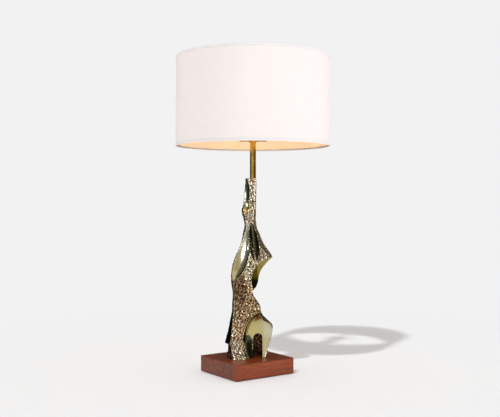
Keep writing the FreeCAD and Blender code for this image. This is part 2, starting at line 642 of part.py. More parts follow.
def make_sleeves():
    for hand, label in ((-1, "harp_sleeve_left"), (1, "harp_sleeve_right")):
        sleeve = new_body(label)
        plan = sketch_on(sleeve, "XY_Plane", "saddle_top + sleeve_clearance")
        sign = "-" if hand < 0 else ""
        circle(plan, f"{sign}({SLEEVE_CENTRE})", "0", SLEEVE_BORE)
        circle(plan, f"{sign}({SLEEVE_CENTRE})", "0", f"{SLEEVE_BORE} + 2 * sleeve_wall")
        pad(sleeve, plan, "sleeve_length")
        facing_front(sleeve)


# ------------------------------------------------------------------ lamp holder and bulb
def make_lock_nut():
    prism = doc.addObject("Part::Prism", "LockNutHex")
    prism.Polygon = 6
    bind(prism, "Circumradius", "lock_nut_flats / sqrt(3)")
    bind(prism, "Height", "lock_nut_height")
    bore = doc.addObject("Part::Cylinder", "LockNutBore")
    bind(bore, "Radius", "pipe_diameter / 2 + running")
    bind(bore, "Height", "lock_nut_height")
    nut = doc.addObject("Part::Cut", "LockNut")
    nut.Label = "lock_nut"
    nut.Base, nut.Tool = prism, bore
    bind(nut, "Placement.Base.z", "saddle_top")
    pieces.append(nut)


def make_holder():
    outer, bore = "cap_diameter / 2", "pipe_diameter / 2 + running"
    collar = f"{bore} + cap_collar_wall"
    cap = turned("socket_cap", [
        (bore, "nut_top"), (f"{bore} + cap_throat", "nut_top"),
        (f"{outer} - cap_bevel", "nut_top + cap_bevel_height"), (outer, "nut_top + cap_shoulder"),
        (outer, "cap_top"), (f"{outer} - shell_wall", "cap_top"),
        (f"{outer} - shell_wall", "nut_top + cap_shoulder + shell_wall"),
        (f"{outer} - cap_bevel", "nut_top + cap_bevel_height + shell_wall"),
        (f"{bore} + cap_throat", "nut_top + cap_floor"), (collar, "nut_top + cap_floor"),
        (collar, "nut_top + cap_collar_height"), (bore, "nut_top + cap_collar_height")])
    facing_front(cap)
    keyway(cap)
    mouth = "shell_radius - shell_step"
    shell = turned("socket_shell", [
        ("shell_radius - shell_wall", "shell_bottom"), ("shell_radius", "shell_bottom"),
        ("shell_radius", "shell_step_bottom"), (mouth, "shell_step_top"), (mouth, "shell_top"),
        (f"{mouth} - shell_wall", "shell_top"), (f"{mouth} - shell_wall", "shell_step_top"),
        ("shell_radius - shell_wall", "shell_step_bottom - shell_wall")])
    facing_front(shell)
    keyway(shell)
    lining = "shell_radius - shell_wall - running"
    insulator = ring("socket_insulator", f"2 * ({lining})", f"2 * ({lining} - liner_wall)",
                     "shell_bottom + liner_gap", "shell_step_bottom - liner_gap")
    facing_front(insulator)
    keyway(insulator)
    body = turned("socket_body", [("0", "body_bottom"), ("body_radius", "body_bottom"),
                                  ("body_radius", "body_top"), ("0", "body_top")])
    shaft_way = sketch_on(body, "XZ_Plane")
    circle(shaft_way, "0", "key_level", "key_shaft + 2 * running")
    pocket(body, shaft_way, "2 * body_radius", reversed_way=True)
    screw_way = sketch_on(body, "YZ_Plane")
    circle(screw_way, "0", "body_bottom + terminal_height", "terminal_diameter + 2 * running")
    pocket(body, screw_way, "4 * body_radius", midplane=True)
    facing_front(body)
    thread = "thread_radius"
    outside, throat = f"{thread} + thread_shell_wall", f"{thread} - thread_shell_lip"
    thread_top, thread_floor = "body_top + thread_shell_height", "body_top + thread_shell_wall"
    turned("screw_shell", [(throat, "body_top"), (outside, "body_top"), (outside, thread_top),
                           (thread, thread_top), (thread, thread_floor), (throat, thread_floor)])
    edge, nose = "contact_diameter / 2", "contact_nose / 2"
    turned("centre_contact", [("0", "body_top"), (edge, "body_top"), (edge, "body_top + contact_floor"),
                              (nose, "bulb_bottom - seat"), ("0", "bulb_bottom - seat")])
    screws = []
    for hand in (-1, 1):
        head = Vector(hand * size("body_radius + terminal_proud"), 0, size("body_bottom + terminal_height"))
        tail = head - Vector(hand * size("terminal_length"), 0, 0)
        screws.append(rod(head, tail, size("terminal_diameter") / 2))
    facing_front(loose_shape("terminal_screws", Part.Compound(screws)))


def keyway(body):
    """The slot in a socket wall that the key's shaft passes, facing the front."""
    way = sketch_on(body, "XZ_Plane")
    circle(way, "0", "key_level", "key_shaft + 2 * keyway_clearance")
    pocket(body, way, "cap_diameter", reversed_way=True)


def make_key():
    key = new_body("switch_key")
    shaft = sketch_on(key, "XZ_Plane", "key_root")
    circle(shaft, "0", "key_level", "key_shaft")
    pad(key, shaft, "key_reach - key_taper - key_root")
    paddle = sketch_on(key, "YZ_Plane", "-key_thickness / 2")
    near, broad, far = "-(key_reach - key_paddle)", "-(key_reach - key_paddle + key_taper)", "-key_reach"
    low, high = "key_level - key_height / 2", "key_level + key_height / 2"
    outline(paddle, [(near, "key_level - key_shaft / 2"), (broad, low), (far, low),
                     (far, high), (broad, high), (near, "key_level + key_shaft / 2")])
    pad(key, paddle, "key_thickness")
    facing_front(key)


def make_bulb():
    glass_low = "bulb_cap_top + seat"
    ball = "bulb_diameter / 2"
    centre = f"bulb_top - {ball}"
    neck = "bulb_neck / 2"
    wall = "bulb_wall"
    inside = f"({ball} - {wall})"
    turn = "(bulb_shoulder_angle * 1 deg)"
    waist = f"{glass_low} + bulb_flare_height"
    turned("bulb_glass", [
        (f"{neck} - {wall}", glass_low), (neck, glass_low), (f"{neck} + bulb_flare", waist),
        (f"{ball} * cos{turn}", f"{centre} - {ball} * sin{turn}", ball, -1), ("0", "bulb_top"),
        ("0", f"bulb_top - {wall}", inside, 1),
        (f"{inside} * cos{turn}", f"{centre} - {inside} * sin{turn}"),
        (f"{neck} + bulb_flare - {wall}", waist)])
    cap = "bulb_cap_diameter / 2"
    turned("bulb_cap", [("0", "bulb_cap_bottom"), (f"{cap} - bulb_cap_chamfer", "bulb_cap_bottom"),
                        (cap, "bulb_cap_bottom + bulb_cap_chamfer"), (cap, "bulb_cap_top"),
                        ("0", "bulb_cap_top")])
    turned("bulb_tip", [("0", "bulb_bottom"), ("bulb_tip / 2 - bulb_tip_chamfer", "bulb_bottom"),
                        ("bulb_tip / 2", "bulb_cap_bottom"), ("0", "bulb_cap_bottom")])


# ------------------------------------------------------------------ swivel, spider and finial
def make_swivel():
    base = new_body("stud_base")
    plan = sketch_on(base, "XY_Plane", "stud_base_top - stud_base_height")
    circle(plan, "0", "0", "stud_base_diameter")
    pad(base, plan, "stud_base_height")
    mouth = sketch_on(base, "XY_Plane", "stud_base_top")
    circle(mouth, "0", "0", "stud_pin + 2 * running")
    pocket(base, mouth, "stud_pin_length + stud_pin_relief")
    cross = sketch_on(base, "YZ_Plane")
    circle(cross, "0", "harp_top - harp_wire / 2", "harp_wire + 2 * running")
    pocket(base, cross, "2 * stud_base_diameter", midplane=True)
    facing_front(base)
    pin, thread = "stud_pin / 2", "stud_thread / 2"
    turned("swivel_stud", [
        ("0", "stud_base_top - stud_pin_length"), (pin, "stud_base_top - stud_pin_length"),
        (pin, "flange_bottom"),
        ("stud_flange / 2", "flange_bottom"), ("stud_flange / 2", "flange_top"),
        (thread, "flange_top"), (thread, "stud_top - stud_thread_chamfer"),
        (f"{thread} - stud_thread_chamfer", "stud_top"), ("0", "stud_top")])


# What the rolled trim wraps at a rim: fabric and liner with their gaps.
RIM_WALLS = "fabric_thickness + liner_thickness + 3 * shade_gap + trim_thickness"
ARM_KNEE = 0.55         # where a spider arm starts to rise, along its reach


def drum_radius(height, depth):
    """Formula for a radius of the drum at a height, depth inside its sloping outside."""
    slope = "shade_taper / 2 / shade_height"
    return f"shade_bottom_diameter / 2 - ({slope}) * (({height}) - shade_bottom) - ({depth})"


def ring_level(rim):
    """Height of a rim's wire, a little inside the shade from its edge."""
    sign = "+" if rim == "bottom" else "-"
    return f"shade_{rim} {sign} (ring_drop + ring_wire / 2)"


def ring_centre(rim):
    """Centre line of a rim's wire, just inside the rolled trim."""
    return drum_radius(ring_level(rim), f"{RIM_WALLS} + trim_thickness + ring_wire / 2 + seat")


def make_spider():
    hub = Part.makeCylinder(size("hub_diameter") / 2, size("hub_thickness"), Vector(0, 0, size("flange_top")))
    hub = hub.cut(Part.makeCylinder(size("stud_thread / 2 + running"), size("hub_thickness"),
                                    Vector(0, 0, size("flange_top"))))
    reach = size(ring_centre("top")) - size("ring_wire") / 2 - size("seat")
    level = size(ring_level("top"))
    low = size("flange_top + hub_thickness / 2")
    count = round(size("spider_arms"))
    wire = size("spider_wire") / 2
    spider = hub
    for k in range(count):
        turn = 2 * math.pi * k / count
        way = Vector(math.cos(turn), math.sin(turn), 0)
        inner = way * (size("hub_diameter") / 2 - size("arm_root")) + Vector(0, 0, low)
        knee = way * (reach * ARM_KNEE) + Vector(0, 0, low)
        outer = way * reach + Vector(0, 0, level)
        path = rounded_path([inner, knee, outer], [size("arm_bend")])
        tip = Part.Wire(Part.Circle(inner, way, wire).toShape())
        arm = Part.BRepOffsetAPI.MakePipeShell(path)
        arm.add(tip)
        arm.build()
        arm.makeSolid()
        spider = spider.fuse(arm.shape())
    bore = Part.makeCylinder(size("stud_thread / 2 + running"), size("stud_thread_length"),
                             Vector(0, 0, low - size("stud_thread_length") / 2))
    loose_shape("spider", spider.cut(bore).removeSplitter())


def make_finial():
    bore, foot, ball = "stud_thread / 2 + running", "finial_foot / 2", "finial_ball / 2"
    base, top = "hub_top + running", "hub_top + finial_height"
    centre = f"{top} - {ball}"
    neck, bead, turn = "finial_neck / 2", "finial_bead / 2", "(finial_ball_angle * 1 deg)"
    turned("finial", [
        (bore, base), (foot, base), (foot, f"{base} + finial_foot_height"),
        (neck, f"{base} + finial_neck_start"), (neck, f"{base} + finial_neck_end"),
        (bead, f"{base} + finial_bead_start"), (bead, f"{base} + finial_bead_end"),
        (f"{ball} * cos{turn}", f"{centre} - {ball} * sin{turn}", ball, -1),
        ("0", top), ("0", "stud_top + finial_cap"), (bore, "stud_top + finial_cap")])


# ------------------------------------------------------------------ shade
def drum_wall(label, inset, thickness, bottom, top):
    """A thin wall that follows the drum's slope, inset from its outside."""
    outer, inner = inset, f"{inset} + {thickness}"
    return turned(label, [(drum_radius(bottom, inner), bottom), (drum_radius(bottom, outer), bottom),
                          (drum_radius(top, outer), top), (drum_radius(top, inner), top)])


def make_rolled_trim(rim):
    """A thin strip folded over a rim: down the outside, across the edge and up the inside."""
    level, sign = f"shade_{rim}", "+" if rim == "bottom" else "-"
    lip, floor = f"{level} {sign} trim_height", f"{level} {sign} trim_thickness"
    walls, inside = f"({RIM_WALLS})", f"({RIM_WALLS} + trim_thickness)"
    places = [("0", level), ("0", lip), ("trim_thickness", lip), ("trim_thickness", floor),
              (walls, floor), (walls, lip), (inside, lip), (inside, level)]
    turned(f"{rim}_trim", [(drum_radius(height, depth), height) for depth, height in places])


def make_shade_ring(rim):
    wire = new_body(f"{rim}_ring")
    sketch = sketch_on(wire, "XZ_Plane")
    circle(sketch, ring_centre(rim), ring_level(rim), "ring_wire")
    spin = wire.newObject("PartDesign::Revolution", wire.Name + "Turned")
    spin.Profile = sketch
    spin.ReferenceAxis = (sketch, ["V_Axis"])
    spin.Angle = 360
    doc.recompute()


def make_shade():
    edge = "trim_thickness + shade_gap"
    low, high = f"shade_bottom + {edge}", f"shade_top - ({edge})"
    drum_wall("shade_fabric", edge, "fabric_thickness", low, high)
    drum_wall("shade_liner", f"{edge} + fabric_thickness + shade_gap", "liner_thickness", low, high)
    for rim in ("bottom", "top"):
        make_rolled_trim(rim)
        make_shade_ring(rim)


# ------------------------------------------------------------------ build, check and write
make_felt_pad()
make_base_block()
make_inlet_bushing()
make_figure_casting()
make_fixings()
make_neck()
make_saddle()
make_harp()
make_sleeves()
make_lock_nut()
make_holder()
make_key()
make_bulb()
make_swivel()
make_spider()
make_finial()
make_shade()
doc.recompute()

for item in doc.Objects:
    if "Invalid" in item.State or "Error" in item.State:
        raise RuntimeError(f"{item.Name} did not build: {item.State}")
for piece in pieces:
    if piece.Shape.isNull() or not piece.Shape.isValid():
        raise RuntimeError(f"{piece.Label} has no sound shape")
for piece in pieces:
    piece.Shape.exportStep(f"parts/{piece.Label}.step")
    print(f"{piece.Label:20s} {len(piece.Shape.Solids)} solids {piece.Shape.Volume:12.1f} mm3")
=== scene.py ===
import math

import bmesh
import bpy
import numpy as np
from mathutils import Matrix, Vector


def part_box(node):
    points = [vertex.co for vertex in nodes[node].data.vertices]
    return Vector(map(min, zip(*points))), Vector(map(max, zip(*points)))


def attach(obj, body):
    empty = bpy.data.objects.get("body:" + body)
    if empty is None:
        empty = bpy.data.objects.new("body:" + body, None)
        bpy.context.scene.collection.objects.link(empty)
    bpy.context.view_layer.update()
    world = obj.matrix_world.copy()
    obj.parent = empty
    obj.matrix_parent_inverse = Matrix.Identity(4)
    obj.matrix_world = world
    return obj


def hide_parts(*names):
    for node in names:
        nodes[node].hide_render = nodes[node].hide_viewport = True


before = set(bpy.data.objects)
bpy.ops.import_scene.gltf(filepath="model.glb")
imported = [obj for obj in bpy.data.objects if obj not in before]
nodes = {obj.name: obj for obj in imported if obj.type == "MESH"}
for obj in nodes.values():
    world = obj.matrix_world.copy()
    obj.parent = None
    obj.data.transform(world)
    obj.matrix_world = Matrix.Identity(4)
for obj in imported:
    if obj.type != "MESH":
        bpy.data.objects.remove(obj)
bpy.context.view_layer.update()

# Figural table lamp: a cast brass figure on a walnut block, a brass neck and a white drum shade, lit
# from inside.  Metres, +Z up, with the origin where the upright axis meets the table.  Sizes of single
# features are written in millimetres and turned into metres by MM.
MM = 0.001

# The figure faces the camera, which stands this far round from the block's front face, at the viewing
# point: across, away and up in mm.
FRONT_TURN = math.radians(35.0)
COS, SIN = math.cos(FRONT_TURN), math.sin(FRONT_TURN)
VIEWING_POINT = (-7.7, -2132.0, 443.6)


def to_front(points):
    """Points in the frame, in metres, as seen from the figure's front: across, away and up in mm."""
    x, y, z = points.T / MM
    return np.stack([x * COS - y * SIN, x * SIN + y * COS, z], axis=1)


def from_front(points):
    """The way back: across, away and up in mm to points of the frame in metres."""
    across, away, up = np.asarray(points, float).T
    return np.stack([across * COS + away * SIN, away * COS - across * SIN, up], axis=-1) * MM


def cad_box_mm(node):
    """The low and the high corner of a CAD node's box, in mm."""
    low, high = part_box(node)
    return np.array(low) / MM, np.array(high) / MM


# ------------------------------------------------------------------ materials
def linear(hex_colour):
    """An sRGB hex colour as linear red, green and blue, with full alpha."""
    parts = [int(hex_colour[k:k + 2], 16) / 255 for k in (1, 3, 5)]
    return tuple(c / 12.92 if c <= 0.04045 else ((c + 0.055) / 1.055) ** 2.4 for c in parts) + (1.0,)


def add(tree, kind, inputs=None, stops=None, **settings):
    """Adds one shader node.  settings are the node's own options, inputs maps a socket to its value or
    to the socket that feeds it, and stops are the (place, hex colour) pairs of a colour ramp."""
    node = tree.nodes.new("ShaderNode" + kind)
    for name, value in settings.items():
        setattr(node, name, value)
    for key, value in (inputs or {}).items():
        if isinstance(value, bpy.types.NodeSocket):
            tree.links.new(value, node.inputs[key])
        else:
            node.inputs[key].default_value = value
    for k, (place, colour) in enumerate(stops or ()):
        elements = node.color_ramp.elements
        element = elements[k] if k < 2 else elements.new(place)
        element.position, element.color = place, linear(colour)
    return node


def new_material(name, constants):
    """A material with one Principled shader; constants are the sockets that are even all over."""
    made = bpy.data.materials.new(name)
    made.use_nodes = True
    shader = made.node_tree.nodes["Principled BSDF"]
    for socket, value in constants.items():
        shader.inputs[socket].default_value = value
    return made, made.node_tree, shader


def placed(tree, scale=(1, 1, 1)):
    """The piece's own coordinates in millimetres, stretched by scale."""
    spot = add(tree, "TexCoord").outputs["Object"]
    size = tuple(s / MM for s in scale)
    return add(tree, "Mapping", {"Vector": spot, "Scale": size}).outputs["Vector"]


def noise(tree, place, spacing, detail=3.0, rough=0.5):
    """Soft noise whose blobs are about spacing millimetres across, from 0 to 1."""
    return add(tree, "TexNoise", {"Vector": place, "Scale": 1 / spacing, "Detail": detail,
                                  "Roughness": rough}).outputs["Fac"]


def bumped(tree, shader, height, distance, strength=1.0):
    """Lets height, from 0 to 1, raise the surface by distance in millimetres."""
    bump = add(tree, "Bump", {"Height": height, "Distance": distance * MM, "Strength": strength})
    tree.links.new(bump.outputs["Normal"], shader.inputs["Normal"])


def ramp(tree, factor, *stops):
    """A colour ramp through (place, hex colour) stops, with its two ends given to the ready elements."""
    ordered = [stops[0], stops[-1], *stops[1:-1]]
    return add(tree, "ValToRGB", {"Fac": factor}, stops=ordered).outputs["Color"]


def spread(tree, value, low, high, new_low, new_high):
    """Maps the range low..high onto new_low..new_high, clamped."""
    return add(tree, "MapRange", {"Value": value, "From Min": low, "From Max": high, "To Min": new_low,
                                  "To Max": new_high}).outputs["Result"]


def blend_colours(tree, factor, first, second, mode="MIX"):
    """Blends two colours by factor; each may be a colour or the socket that feeds it."""
    mix = add(tree, "Mix", data_type="RGBA", blend_type=mode)
    for socket, value in ((0, factor), (6, first), (7, second)):
        if isinstance(value, bpy.types.NodeSocket):
            tree.links.new(value, mix.inputs[socket])
        else:
            mix.inputs[socket].default_value = value
    return mix.outputs[2]


def cast_brass():
    """Sand-cast brass, chiselled and then polished in its hollows: the tool marks hold a brown patina
    while their ridges are rubbed pale, the palest, near-white ridge colour being a painted highlight,
    and the hollows mirror the room with a greenish gold tint."""
    made, tree, shader = new_material("cast_brass_chiselled_and_polished",
                                      {"Metallic": 1.0, "Specular Tint": linear("#C6BA94")})
    polish, ridge, patina_and_shade, warmth = (add(tree, "Attribute", attribute_name=name).outputs["Fac"]
                                     for name in ("polish", "ridge", "patina_and_shade", "warmth"))
    place = placed(tree)
    grain = noise(tree, place, 3.0, 3.0, 0.6)
    tone = add(tree, "Math", {0: ridge, 1: spread(tree, grain, 0.3, 0.7, -0.2, 0.2)}, operation="ADD")
    tone = tone.outputs["Value"]
    # the ramps run from dark brown pits to pale rubbed ridges; their near-white top stops are a painted
    # highlight
    pale = ramp(tree, tone, (0.0, "#473526"), (0.4, "#746046"), (0.6, "#9C9178"), (0.8, "#DCD7C6"),
                (1.0, "#FAF6EE"))
    warm = ramp(tree, tone, (0.0, "#4A2818"), (0.4, "#7A5034"), (0.62, "#9A774E"), (0.82, "#D0B88C"),
                (1.0, "#F6EACC"))
    # a darker ramp for worked skin that is drawn dark: the darker patches, and painted shade in the niche
    # between the legs
    darkened_worked = ramp(tree, tone, (0.0, "#180E0A"), (0.6, "#3A241B"), (1.0, "#85634E"))
    chiselled = blend_colours(tree, patina_and_shade, blend_colours(tree, warmth, pale, warm), darkened_worked)
    mirror = blend_colours(tree, warmth, linear("#CECAB4"), linear("#C3B67E"))
    # smooth metal drawn dark green: patina together with painted shade and painted dark reflection
    mirror = blend_colours(tree, patina_and_shade, mirror, linear("#535642"))
    tree.links.new(blend_colours(tree, polish, chiselled, mirror), shader.inputs["Base Color"])
    worked = spread(tree, ridge, 0.2, 0.9, 0.34, 0.2)
    smooth = spread(tree, noise(tree, place, 9.0), 0.3, 0.7, 0.16, 0.24)
    rough = add(tree, "Mix", {0: polish, 2: worked, 3: smooth}, data_type="FLOAT")
    tree.links.new(rough.outputs[0], shader.inputs["Roughness"])
    fine = add(tree, "Mix", {0: polish, 2: grain, 3: 0.5}, data_type="FLOAT").outputs[0]
    bumped(tree, shader, fine, 0.35, 0.8)
    return made


def lacquered_brass():
    """Spun and turned brass under clear lacquer: warm, even and bright, with faint turning lines."""
    made, tree, shader = new_material("lacquered_brass", {"Metallic": 1.0, "Coat Weight": 0.35,
                                                          "Coat Roughness": 0.08})
    place = placed(tree)
    colour = ramp(tree, noise(tree, place, 14.0), (0.3, "#B98F35"), (0.7, "#D2AA50"))
    tree.links.new(colour, shader.inputs["Base Color"])
    lines = noise(tree, placed(tree, (0.05, 0.05, 1.0)), 0.6)
    tree.links.new(spread(tree, lines, 0.3, 0.7, 0.14, 0.24), shader.inputs["Roughness"])
    bumped(tree, shader, lines, 0.02, 0.5)
    return made


def stained_walnut():
    """Walnut stained red-brown under satin lacquer: long dark pores run with the block's length, over
    broad bands of lighter and darker wood, and the lacquer adds a clear sheen."""
    made, tree, shader = new_material("stained_walnut_lacquered", {"Coat Weight": 0.25,
                                                                   "Coat Roughness": 0.12,
                                                                   "Specular IOR Level": 0.3})
    sway = noise(tree, placed(tree, (0.4, 1, 1)), 60.0, 2.0)
    along = placed(tree, (0.045, 1.0, 1.0))
    bent = add(tree, "VectorMath", {0: along, 1: sway}, operation="ADD").outputs["Vector"]
    bands = noise(tree, bent, 11.0, 4.0, 0.6)
    pores = noise(tree, bent, 1.3, 3.0, 0.7)
    wood = ramp(tree, bands, (0.25, "#4E200A"), (0.5, "#86370F"), (0.75, "#9A4617"))
    dark = ramp(tree, pores, (0.36, "#1E0C08"), (0.5, "#FFFFFF"))
    tree.links.new(blend_colours(tree, 0.55, wood, dark, "MULTIPLY"), shader.inputs["Base Color"])
    tree.links.new(spread(tree, pores, 0.35, 0.6, 0.5, 0.34), shader.inputs["Roughness"])
    bumped(tree, shader, pores, 0.08, 0.5)
    return made


def zinc_plated_steel():
    """Zinc-plated steel: cool grey with a soft, slightly cloudy shine."""
    made, tree, shader = new_material("zinc_plated_steel", {"Metallic": 1.0})
    cloud = noise(tree, placed(tree), 5.0)
    tree.links.new(ramp(tree, cloud, (0.3, "#A9ABAE"), (0.7, "#C4C6C8")), shader.inputs["Base Color"])
    tree.links.new(spread(tree, cloud, 0.3, 0.7, 0.28, 0.42), shader.inputs["Roughness"])
    return made


def rolled_aluminium():
    """Rolled aluminium of a bulb's cap: pale grey, a little dull."""
    made, tree, shader = new_material("rolled_aluminium", {"Metallic": 1.0})
    cloud = noise(tree, placed(tree), 3.0)
    tree.links.new(ramp(tree, cloud, (0.3, "#C9CACA"), (0.7, "#DCDDDD")), shader.inputs["Base Color"])
    tree.links.new(spread(tree, cloud, 0.3, 0.7, 0.25, 0.4), shader.inputs["Roughness"])
    return made


def wool_felt():
    """Pressed wool felt: very dark green, matt, with short crossed fibres."""
    made, tree, shader = new_material("pressed_wool_felt", {"Roughness": 0.95, "Sheen Weight": 0.4,
                                                            "Sheen Roughness": 0.5})
    fibres = noise(tree, placed(tree), 0.8, 4.0, 0.7)
    tree.links.new(ramp(tree, fibres, (0.3, "#141C17"), (0.7, "#2B3830")), shader.inputs["Base Color"])
    bumped(tree, shader, fibres, 0.3)
    return made


def black_phenolic():
    """Moulded phenolic plastic: near black with a soft sheen and a faint mottle."""
    made, tree, shader = new_material("moulded_phenolic", {"Specular IOR Level": 0.5})
    mottle = noise(tree, placed(tree), 2.0)
    tree.links.new(ramp(tree, mottle, (0.3, "#17120F"), (0.7, "#241C18")), shader.inputs["Base Color"])
    tree.links.new(spread(tree, mottle, 0.3, 0.7, 0.32, 0.45), shader.inputs["Roughness"])
    return made


def vulcanised_fibre():
    """Vulcanised fibre board lining: brown, matt, faintly streaked."""
    made, tree, shader = new_material("vulcanised_fibre_board", {"Roughness": 0.75})
    streaks = noise(tree, placed(tree, (1, 1, 0.15)), 1.2, 4.0)
    tree.links.new(ramp(tree, streaks, (0.3, "#7A5638"), (0.7, "#9C7450")), shader.inputs["Base Color"])
    bumped(tree, shader, streaks, 0.05)
    return made


def lit_frosted_glass():
    """Inside-frosted bulb glass, lit: an even warm glow, as of a filament at about 2700 K."""
    made, tree, shader = new_material("frosted_bulb_glass_lit",
                                      {"Roughness": 0.35, "Emission Strength": 31.0})
    haze = noise(tree, placed(tree), 6.0)
    tree.links.new(ramp(tree, haze, (0.3, "#FFF4E4"), (0.7, "#FFF9EF")), shader.inputs["Base Color"])
    tree.links.new(ramp(tree, haze, (0.3, "#FFBE70"), (0.7, "#FFC47C")), shader.inputs["Emission Color"])
    return made


def through_lit(name, constants, share, through):
    """A material that also passes light, tinted through, by a translucent shader that takes share of
    the mix."""
    made, tree, shader = new_material(name, constants)
    glow = add(tree, "BsdfTranslucent", {"Color": linear(through)})
    mix = add(tree, "MixShader", {0: share, 1: shader.outputs[0], 2: glow.outputs[0]})
    tree.links.new(mix.outputs[0], tree.nodes["Material Output"].inputs["Surface"])
    return made, tree, shader, glow


def styrene_liner():
    """White styrene sheet that lines the shade: smooth, slightly warm, and lets some light through."""
    made, tree, shader, _ = through_lit("styrene_shade_liner", {"Roughness": 0.42}, 0.35, "#FFF3E2")
    cloud = noise(tree, placed(tree), 40.0, 2.0)
    tree.links.new(ramp(tree, cloud, (0.3, "#F4EEE2"), (0.7, "#FAF5EA")), shader.inputs["Base Color"])
    return made


def shade_linen(name, share):
    """White linen-look cloth on the drum: a fine plain weave with slubs, matt, glowing warm where the
    bulb shines through.  The threads are drawn 1.1 mm apart, twice as coarse as real ones, so that
    they show; a wave's bands lie pi / 10 / scale apart."""
    spacing, glow_tint = 1.1, "#FFEEE0"
    made, tree, shader, glow = through_lit(name, {"Roughness": 0.9, "Sheen Weight": 0.15,
                                                  "Sheen Roughness": 0.4}, share, glow_tint)
    uv = add(tree, "UVMap", uv_map="cloth").outputs["UV"]
    scaled = add(tree, "Mapping", {"Vector": uv, "Scale": (1 / MM, 1 / MM, 1.0)}).outputs["Vector"]
    weave = {"Vector": scaled, "Scale": math.pi / 10 / spacing, "Distortion": 0.6, "Detail": 1.0}
    warp, weft = (add(tree, "TexWave", weave, bands_direction=way).outputs["Fac"] for way in "XY")
    threads = add(tree, "Math", {0: warp, 1: weft}, operation="ADD").outputs["Value"]
    stretched = add(tree, "Mapping", {"Vector": scaled, "Scale": (0.06, 1.0, 1.0)}).outputs["Vector"]
    slubs = noise(tree, stretched, 2.4, 2.0)
    both = add(tree, "Math", {0: threads, 1: slubs}, operation="ADD").outputs["Value"]
    colour = ramp(tree, slubs, (0.3, "#F4F4F5"), (0.6, "#F8F8F9"))
    tree.links.new(colour, shader.inputs["Base Color"])
    tree.links.new(blend_colours(tree, 1.0, colour, linear(glow_tint), "MULTIPLY"), glow.inputs["Color"])
    bumped(tree, shader, both, 0.12, 0.6)
    return made


def dress(node, material):
    """Gives a CAD node one material, in its own slots."""
    slots = nodes[node].data.materials
    slots.clear()
    slots.append(material)


# ------------------------------------------------------------------ surfaces
def new_piece(name, vertices, faces, material, body=None):
    """A smooth mesh piece; it rides its body, if it has one, and is otherwise part of the surroundings."""
    mesh = bpy.data.meshes.new(name)
    mesh.from_pydata(np.asarray(vertices).tolist(), [], faces.tolist())
    mesh.update()
    mesh.polygons.foreach_set("use_smooth", np.ones(len(mesh.polygons), bool))
    piece = bpy.data.objects.new(name, mesh)
    bpy.context.scene.collection.objects.link(piece)
    mesh.materials.append(material)
    if body:
        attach(piece, body)
    return piece


def grid_faces(rows, columns, close_rows=True, close_columns=True):
    """Quads over a grid of rows x columns points, joined round at the ends that are closed."""
    i = np.arange(rows if close_rows else rows - 1)[:, None]
    j = np.arange(columns if close_columns else columns - 1)[None, :]
    i2, j2 = (i + 1) % rows, (j + 1) % columns
    corners = [i * columns + j, i * columns + j2, i2 * columns + j2, i2 * columns + j]
    return np.stack(np.broadcast_arrays(*corners), axis=-1).reshape(-1, 4)


def turned_points(profile, angle, wobble):
    """Each point (radius, height) of the profile carried round the upright axis: the point at angle a
    is (r cos a, r sin a, z).  wobble is added to the radius, one value for each angle."""
    radius = profile[:, :1] + wobble[None, :]
    height = np.broadcast_to(profile[:, 1:], radius.shape)
    return np.stack([radius * np.cos(angle), radius * np.sin(angle), height], axis=-1)


def waves_round(angle, seed, counts):
    """Unevenness round a drum: the sum, over counts k, of h cos(k a + s) with h from -1 to 1 and s at
    random."""
    rng = np.random.default_rng(seed)
    return sum(rng.uniform(-1, 1) * np.cos(k * angle + rng.uniform(0, 6.28)) for k in counts)


def lattice_noise(points, spacing, seed):
    """Smooth noise from 0 to 1: random values on a cubic lattice, blended between its corners by the
    curve 3t^2 - 2t^3 along each axis."""
    rng = np.random.default_rng(seed)
    spot = points / spacing
    low = np.floor(spot.min(axis=0)).astype(int)
    cell = np.floor(spot).astype(int) - low
    part = spot - low - cell
    part = part * part * (3 - 2 * part)
    values = rng.random(tuple(cell.max(axis=0) + 2))
    total = np.zeros(len(points))
    for step in np.ndindex(2, 2, 2):
        weight = np.prod(np.where(np.array(step) == 1, part, 1 - part), axis=1)
        total += weight * values[tuple((cell + np.array(step)).T)]
    return total


def nearest_marks(spot, seed):
    """One mark in each unit cell, at random but not near the cell's walls.  Gives the distance to the
    nearest and to the second nearest mark, and the nearest mark's own random number."""
    rng = np.random.default_rng(seed)
    low = np.floor(spot.min(axis=0)).astype(int) - 1
    home = np.floor(spot).astype(int) - low
    span = tuple(home.max(axis=0) + 2)
    jitter, number = 0.12 + 0.76 * rng.random((*span, 3)), rng.random(span)
    first = np.full(len(spot), 9.0)
    second, own = first.copy(), np.zeros(len(spot))
    for step in np.ndindex(3, 3, 3):
        cell = home + np.array(step) - 1
        index = tuple(cell.T)
        gap = np.linalg.norm(spot - (cell + low + jitter[index]), axis=1)
        nearer = gap < first
        second = np.where(nearer, first, np.minimum(second, gap))
        own = np.where(nearer, number[index], own)
        first = np.where(nearer, gap, first)
    return first, second, own


def smoothstep(value, low, high):
    """0 below low and 1 above high, and between them 3t^2 - 2t^3."""
    t = np.clip((value - low) / (high - low), 0, 1)
    return t * t * (3 - 2 * t)


